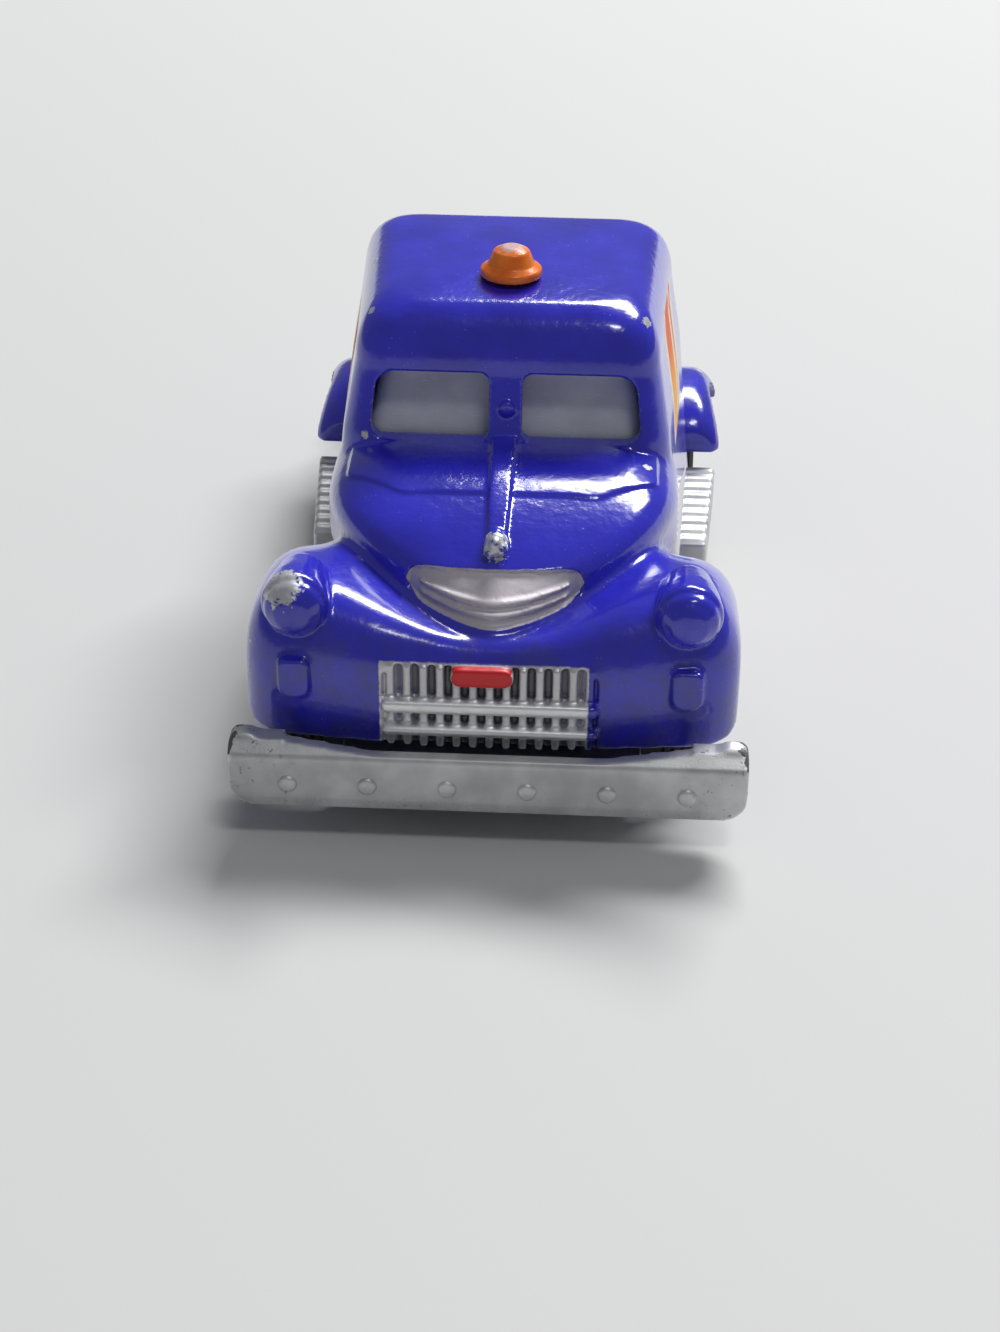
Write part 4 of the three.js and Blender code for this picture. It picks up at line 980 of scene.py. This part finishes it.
def spot(point, centre, radius, ragged):
    gap = point.node("VectorMath", {"operation": "DISTANCE"}, {0: point, 1: centre}, "Value")
    return ramp(radius - gap + (ragged - 0.5) * (2.4 * radius), 0, 0.05)


def enamel(name, spots, markings=None):
    material, shader, point = finish(name)
    cloud, peel, ragged = noise(point, 0.22, 3), noise(point, 1.5, 2), noise(point, 2.6, 6, 0.75)
    # Chips on standing edges, plus round marks at listed spots; those on the roof's rim and by the cowl are
    # partly painted highlights.
    chips_and_glints = ramp(edge_of(point) + (ragged - 0.5) * 5 + (cloud - 0.5) * 3, 4.4, 4.6)
    for centre, radius in spots:
        chips_and_glints = either(chips_and_glints, spot(point, centre, radius, ragged))
    specks = ramp(noise(point, 7, 2, 0.6), 0.71, 0.76) * ramp(cloud, 0.42, 0.6)
    # Painted shade, mixed with grime: patches of greyed dark blue, more of them towards the bottom.
    grime_and_shade = ramp(noise(point, 0.55, 5, 0.65), 0.4, 0.66) * (1 - ramp(split(point)[2], 10, 16))
    colour = blended(ramp(cloud, 0.3, 0.7), DEEP, BRIGHT)
    colour = blended(grime_and_shade * 0.45, colour, GRIME_SHADE_BLUE)
    metal, gloss = chips_and_glints * 0.5, 1 - chips_and_glints
    rough = 0.13 + cloud * 0.08 + specks * 0.3 + grime_and_shade * 0.1
    if markings:
        colour, silver, printed = markings(point, colour, ragged)
        metal = either(metal, silver * 0.7)
        rough = rough + silver * 0.22 + printed * 0.4
        gloss = gloss * (1 - silver * 0.7) * (1 - printed)
    colour = blended(specks * 0.55, colour, SPECK)
    colour = blended(chips_and_glints, colour, blended(ragged, DULL, PALE_METAL))
    height = peel - chips_and_glints * 1.2 + specks * 0.15
    feed(shader, base_color=colour, metallic=metal, roughness=rough + chips_and_glints * 0.2, coat_weight=gloss * 0.7,
         coat_roughness=0.12, normal=relief(height, 0.035))
    return material

# %% [markdown]
# Silver is printed over the raised faces of the lower grille, stopping short of its last rib, and over the
# whole of the upper one. Above the upper crossbar the ribs get a darker silver: painted shade, with some
# dirt. The badge place is a bare red boss with a silver rim. Print could be a second skin, but it has no
# thickness to see, so masks lay it on.

# %% Grille print
SILVER, SHADED_RIB_SILVER, SMILE_SILVER = tint(240, 240, 241), tint(206, 204, 207), tint(198, 192, 198)
SHADE, RED = tint(66, 66, 74), tint(216, 20, 30)
SMILE_HALF = 5.6


def grille_masks(x, y, z, loose):
    behind = ramp(y - x * x * (APRON_BOW / FENDER_HALF**2), APRON_FRONT + 0.4, APRON_FRONT + 0.6)
    lower = within(x + loose, -6.8, 6.05, 0.06)
    lower = lower * within(z + loose, APRON_BOTTOM - 0.3, GRILLE_TOP + 0.15, 0.06)
    wide = x * x * (1 / SMILE_HALF**2)
    ends = wide.math("POWER", wide, 7)
    upper = ramp(z - wide * 0.7 - ends * 0.9 + loose * 0.4, APRON_TOP + 0.36, APRON_TOP + 0.44)
    upper = upper * (1 - ramp(z + wide * 0.2 + ends * 0.9 + loose * 0.4, APRON_TOP + 2.9, APRON_TOP + 2.98))
    upper = upper * within(x + loose, -SMILE_HALF, SMILE_HALF, 0.05) * (1 - ramp(y, 11.5, 12))
    sunk = within(x, -GRILLE_HALF, GRILLE_HALF, 0.03) * (1 - ramp(z, GRILLE_TOP, GRILLE_TOP + 0.1))
    return lower * (1 - behind), upper, sunk * (1 - ramp(y, 4, 4.1)) * behind


def badge_masks(x, y, z):
    badge = within(x, BADGE_X - 2.1, BADGE_X + 2.1, 0.02) * within(z, BADGE_Z - 0.8, BADGE_Z + 0.8, 0.02)
    face = either(1 - ramp(y, APRON_FRONT - 0.16, APRON_FRONT - 0.12), ramp(z, BADGE_Z + 0.3, BADGE_Z + 0.4))
    return badge, badge * face * (1 - ramp(y, APRON_FRONT + 0.3, APRON_FRONT + 0.4))


# %% [markdown]
# Each side has slanted stripes in white, orange and yellow on the rear quarter, and a white sweep that tapers
# rearwards along the sill.

# %% Markings
WHITE, ORANGE, YELLOW = tint(226, 226, 224), tint(232, 104, 24), tint(244, 178, 40)


def side_print(x, y, z, loose, colour):
    flank = ramp(abs(x), 9.6, 9.7) * ramp(y, 20.2, 20.3)
    slant = y - z * 0.22 - 27.8 + loose
    stripes = flank * within(z + loose, 15.2, 23.8, 0.05)
    broad = stripes * within(slant, -4.2, 4.2, 0.05)
    colour = blended(broad, colour, WHITE)
    warm = blended(ramp(z, 17, 21.5), YELLOW, ORANGE)
    for start, stop in ((-3.2, 0.6), (1.6, 2.6)):
        colour = blended(stripes * within(slant, start, stop, 0.05), colour, warm)
    sweep = ramp(z + loose, 8.4, 8.5) * (1 - ramp(z + y * 0.3 + loose, 19.9, 20.0))
    return blended(flank * sweep, colour, WHITE), flank * either(sweep, broad)


def cab_markings(point, colour, ragged):
    x, y, z = split(point)
    loose = (ragged - 0.5) * 0.25
    lower, upper, sunk = grille_masks(x, y, z, loose)
    badge, red = badge_masks(x, y, z)
    silver = either(lower, upper)
    high = ramp(z, grille_height(0.6), grille_height(0.62))
    colour = blended(sunk, colour, SHADE)
    # Painted shade, with some dirt: the upper ribs take a darker silver than the crossbars and lower ribs.
    colour = blended(silver, colour, blended(upper, blended(high, SILVER, SHADED_RIB_SILVER), SMILE_SILVER))
    colour = blended(red, colour, RED)
    colour, sides = side_print(x, y, z, loose, colour)
    printed = either(either(badge * 0.7, upper * 0.6), sides)
    return colour, silver * (1 - badge), printed


cab_spots = [
    ((-12.6, 3.75, 16.05), 1.25), ((-13.4, 3.9, 15.4), 0.5), (tuple(tip + Vector((0, 0.5, 0.1))), 0.95),
    # The next five spots, on the roof's rim and by the cowl, are partly chips and partly painted highlights.
    ((-9.6, 32.4, 25.9), 0.35), ((-9.0, 24.0, 25.8), 0.3), ((9.1, 23.7, 25.6), 0.4),
    ((-9.2, 20.4, 18.5), 0.3), ((9.4, 18.2, 17.7), 0.35), ((-15.0, 5.3, 11.3), 0.2)]
bed_spots = [((14.0, 50.2, 10.8), 0.3), ((-13, 44.6, 10.4), 0.3)]
print("Enamel spots:", len(cab_spots) + len(bed_spots))

# %% [markdown]
# The base is a satin grey lacquer over dark metal: scuffed along its edges, with fine scratches, pits and a
# few brown specks along the bottom of the bumper. Every edge is also lightened: a painted highlight, partly
# rubbed. One grey would look moulded, so cloud and wear mix several.

# %% Base lacquer
GREY, PALE_GREY, SCRATCH = tint(184, 186, 187), tint(216, 217, 216), tint(216, 216, 216)
GRIT, RUBBED_EDGE_HIGHLIGHT, WORN = tint(140, 140, 142), tint(234, 235, 234), tint(62, 62, 66)
PIT, RUST = tint(96, 97, 100), tint(110, 74, 48)


def lacquer(name):
    material, shader, point = finish(name)
    x, y, z = split(point)
    cloud, ragged, grit = noise(point, 0.3, 3), noise(point, 1.7, 5, 0.7), noise(point, 6, 3, 0.6)
    lines = noise(stretched(point, 0.35, 3, 9), 1, 3, 0.6)
    edge, nose = edge_of(point), 1 - ramp(y, 2.2, 2.6)
    corner = ramp(abs(x), 14.2, 16) * ramp(z, 5.8, 6.8) * nose
    worn = ramp(edge + corner * 3.2 + (ragged - 0.5) * 6, 3.4, 3.8)
    scratched = ramp(lines, 0.66, 0.72) * ramp(cloud, 0.4, 0.6)
    rust = ramp(grit, 0.66, 0.7) * (1 - ramp(z, 3.2, 4)) * (1 - ramp(y, 3, 4))
    pits = ramp(noise(point, 2.2, 4, 0.7), 0.62, 0.66) * ramp(abs(x), 10, 14.5) * nose
    colour = blended(ramp(cloud, 0.3, 0.7), GREY, PALE_GREY)
    # Painted highlight, partly rubbed: a pale grey is laid along every edge.
    layers = (
        (scratched * 0.4, SCRATCH), (ramp(grit, 0.6, 0.8) * 0.35, GRIT), (ramp(edge, 0.7, 2.0) * 0.5, RUBBED_EDGE_HIGHLIGHT),
        (worn * 0.85, WORN), (pits * 0.7, PIT), (rust * 0.8, RUST))
    for mask, layer in layers:
        colour = blended(mask, colour, layer)
    feed(shader, base_color=colour, metallic=0.65 - rust * 0.6,
         roughness=0.4 + cloud * 0.14 - scratched * 0.1 + worn * 0.1,
         normal=relief(grit * 0.5 + ragged * 0.3 - worn * 0.8 - pits * 0.8, 0.03))
    return material

# %% [markdown]
# The windows are smoky clear plastic with fine scuffs. The beacon is amber plastic, rubbed grey on its top.
# Rubber, hub paint, steel and the plastic inside the cab are plain, so one function makes all four, each with
# its own grain.

# %% Plastics, rubber and steel
def smoky(name):
    material, shader, point = finish(name)
    haze, scuff = noise(point, 0.4, 3), noise(stretched(point, 1, 1, 6), 1.4, 4, 0.6)
    colour = blended(ramp(haze, 0.3, 0.7), tint(204, 208, 216), tint(220, 223, 228))
    feed(shader, base_color=colour, roughness=0.2 + ramp(scuff, 0.55, 0.75) * 0.2, transmission_weight=0.12,
         ior=1.45)
    return material


def amber(name):
    material, shader, point = finish(name)
    ragged, cloud = noise(point, 2.4, 4, 0.6), noise(point, 0.8, 2)
    rubbed = ramp(split(point)[2] + (ragged - 0.5) * 0.9, BEACON_LOW + 1.75, BEACON_LOW + 1.95)
    colour = blended(ramp(cloud, 0.3, 0.7), tint(238, 110, 22), tint(250, 136, 40))
    colour = blended(rubbed * 0.8, colour, tint(186, 170, 172))
    feed(shader, base_color=colour, roughness=0.28 + rubbed * 0.25, subsurface_weight=0.15,
         subsurface_scale=0.0008, normal=relief(ragged, 0.02))
    return material


def plain(name, dark, pale, scale, rough, metal, depth):
    material, shader, point = finish(name)
    cloud, grain = noise(point, 0.5, 3), noise(point, scale, 4, 0.6)
    colour = blended(ramp(cloud * 0.5 + grain * 0.5, 0.35, 0.65), dark, pale)
    feed(shader, base_color=colour, metallic=metal, roughness=rough + grain * 0.15,
         normal=relief(grain, depth))
    return material


cab_paint = enamel("blue_enamel_printed", cab_spots, cab_markings)
bed_paint = enamel("blue_enamel", bed_spots)
grey, glass, dome = lacquer("grey_lacquer"), smoky("smoky_plastic"), amber("amber_plastic")
rubber = plain("tyre_rubber", tint(20, 20, 22), tint(36, 36, 38), 6, 0.6, 0.0, 0.02)
rim = plain("hub_paint", tint(176, 178, 182), tint(204, 206, 208), 4, 0.25, 0.8, 0.012)
steel = plain("steel", tint(150, 152, 156), tint(186, 188, 192), 5, 0.28, 0.95, 0.012)
trim = plain("cabin_plastic", tint(30, 31, 34), tint(46, 47, 50), 5, 0.55, 0.0, 0.02)
print("Finishes:", len(bpy.data.materials))

# %% [markdown]
# ## Seating the pieces
#
# Each piece goes to the frame's own place, takes its finish, rides its body and stands for its
# CAD node. The inside of the cab keeps the CAD shape, which is hardly seen behind the windows, and only gets
# a finish.

# %% Seating
def seat(obj, body, material, node, smooth_angle=0.6):
    obj.data.transform(TO_ROW)
    obj.data.materials.clear()
    obj.data.materials.append(material)
    obj.data.shade_smooth()
    if smooth_angle:
        obj.data.set_sharp_from_angle(angle=smooth_angle)
    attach(obj, body)
    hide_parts(node)


seat(cab, "chassis", cab_paint, "cab_body", 0)
seat(bed, "chassis", bed_paint, "cargo_bed", 0)
seat(base, "chassis", grey, "base_plate", 0.9)
seat(panes, "chassis", glass, "window_insert")
seat(beacon, "chassis", dome, "roof_beacon")
for end in ("front", "rear"):
    seat(axles[end], "chassis", steel, f"{end}_axle")
    seat(rivets[end], "chassis", steel, f"{end}_rivet")
for place, (tread, disc) in wheels.items():
    seat(tread, f"wheel_{place}", rubber, f"tyre_{place}")
    seat(disc, f"wheel_{place}", rim, f"hub_{place}")
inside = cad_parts["cab_interior"]
inside.data.materials.clear()
inside.data.materials.append(trim)
print("Seated", len(bpy.data.meshes), "meshes")

# %% [markdown]
# ## Floor, light and camera
#
# The floor is plain and pale. One broad lamp hangs above and behind the truck's left, so that the nose is in
# half shade as in the photograph. A small one overhead opens the shade and puts the sparks on lamps, brow and
# grille. An even sky alone would show the form but not the enamel's gloss.

# %% Floor and light
floor_bm = bmesh.new()
bmesh.ops.create_grid(floor_bm, x_segments=1, y_segments=1, size=1.5)
floor = faced("floor", floor_bm)
sheet = bpy.data.materials.new("pale_floor")
sheet.use_nodes = True
feed(sheet.node_tree.nodes["Principled BSDF"], base_color=tint(206, 206, 205), roughness=0.7)
floor.data.materials.append(sheet)


def lamp(name, place, width, depth, power):
    light = bpy.data.lights.new(name, "AREA")
    light.shape = "RECTANGLE"
    light.size, light.size_y = width, depth
    light.energy = power
    obj = bpy.data.objects.new(name, light)
    obj.location = place
    obj.rotation_euler = (-Vector(place)).to_track_quat("-Z", "Y").to_euler()
    bpy.context.collection.objects.link(obj)


lamp("above", (0.41, 0.85, 1.04), 0.9, 0.31, 23.5)
lamp("over", (0.22, -0.33, 0.95), 0.26, 0.08, 1.5)
sky = bpy.data.worlds.new("studio")
bpy.context.scene.world = sky
sky.use_nodes = True
sky.node_tree.nodes["Background"].inputs["Color"].default_value = (0.17, 0.175, 0.19, 1)
bpy.context.scene.view_settings.view_transform = "Standard"
print("Lit by", len(bpy.data.lights), "lamps")

# %% [markdown]
# The camera was worked out from the photograph: 31 degrees down, a little to the truck's left, a long lens.
# It could be placed by eye, but a fitted one lets every size be compared with the photograph.

# %% Camera
FOCAL_PIXELS, PHOTO_PIXELS, SENSOR = 2273.4, 1332, 36
YAW, PITCH, ROLL = math.radians(2.535), math.radians(31), math.radians(0.609)
CAMERA_PLACE = Vector((5.865, -115.71, 82.83))
lens = bpy.data.cameras.new("camera")
lens.lens = FOCAL_PIXELS / PHOTO_PIXELS * SENSOR
lens.clip_start = 0.01
camera = bpy.data.objects.new("camera", lens)
bpy.context.collection.objects.link(camera)
ahead = Vector((-math.sin(YAW) * math.cos(PITCH), math.cos(YAW) * math.cos(PITCH), -math.sin(PITCH)))
level = Vector((math.cos(YAW), math.sin(YAW), 0))
rise = level.cross(ahead)
across = level * math.cos(ROLL) + rise * math.sin(ROLL)
upright = rise * math.cos(ROLL) - level * math.sin(ROLL)
turn = Matrix((across, upright, -ahead)).transposed()
camera.matrix_world = Matrix.Translation(TO_ROW @ CAMERA_PLACE) @ turn.to_4x4()
bpy.context.scene.camera = camera
print("Camera at", [round(part, 4) for part in camera.matrix_world.translation])
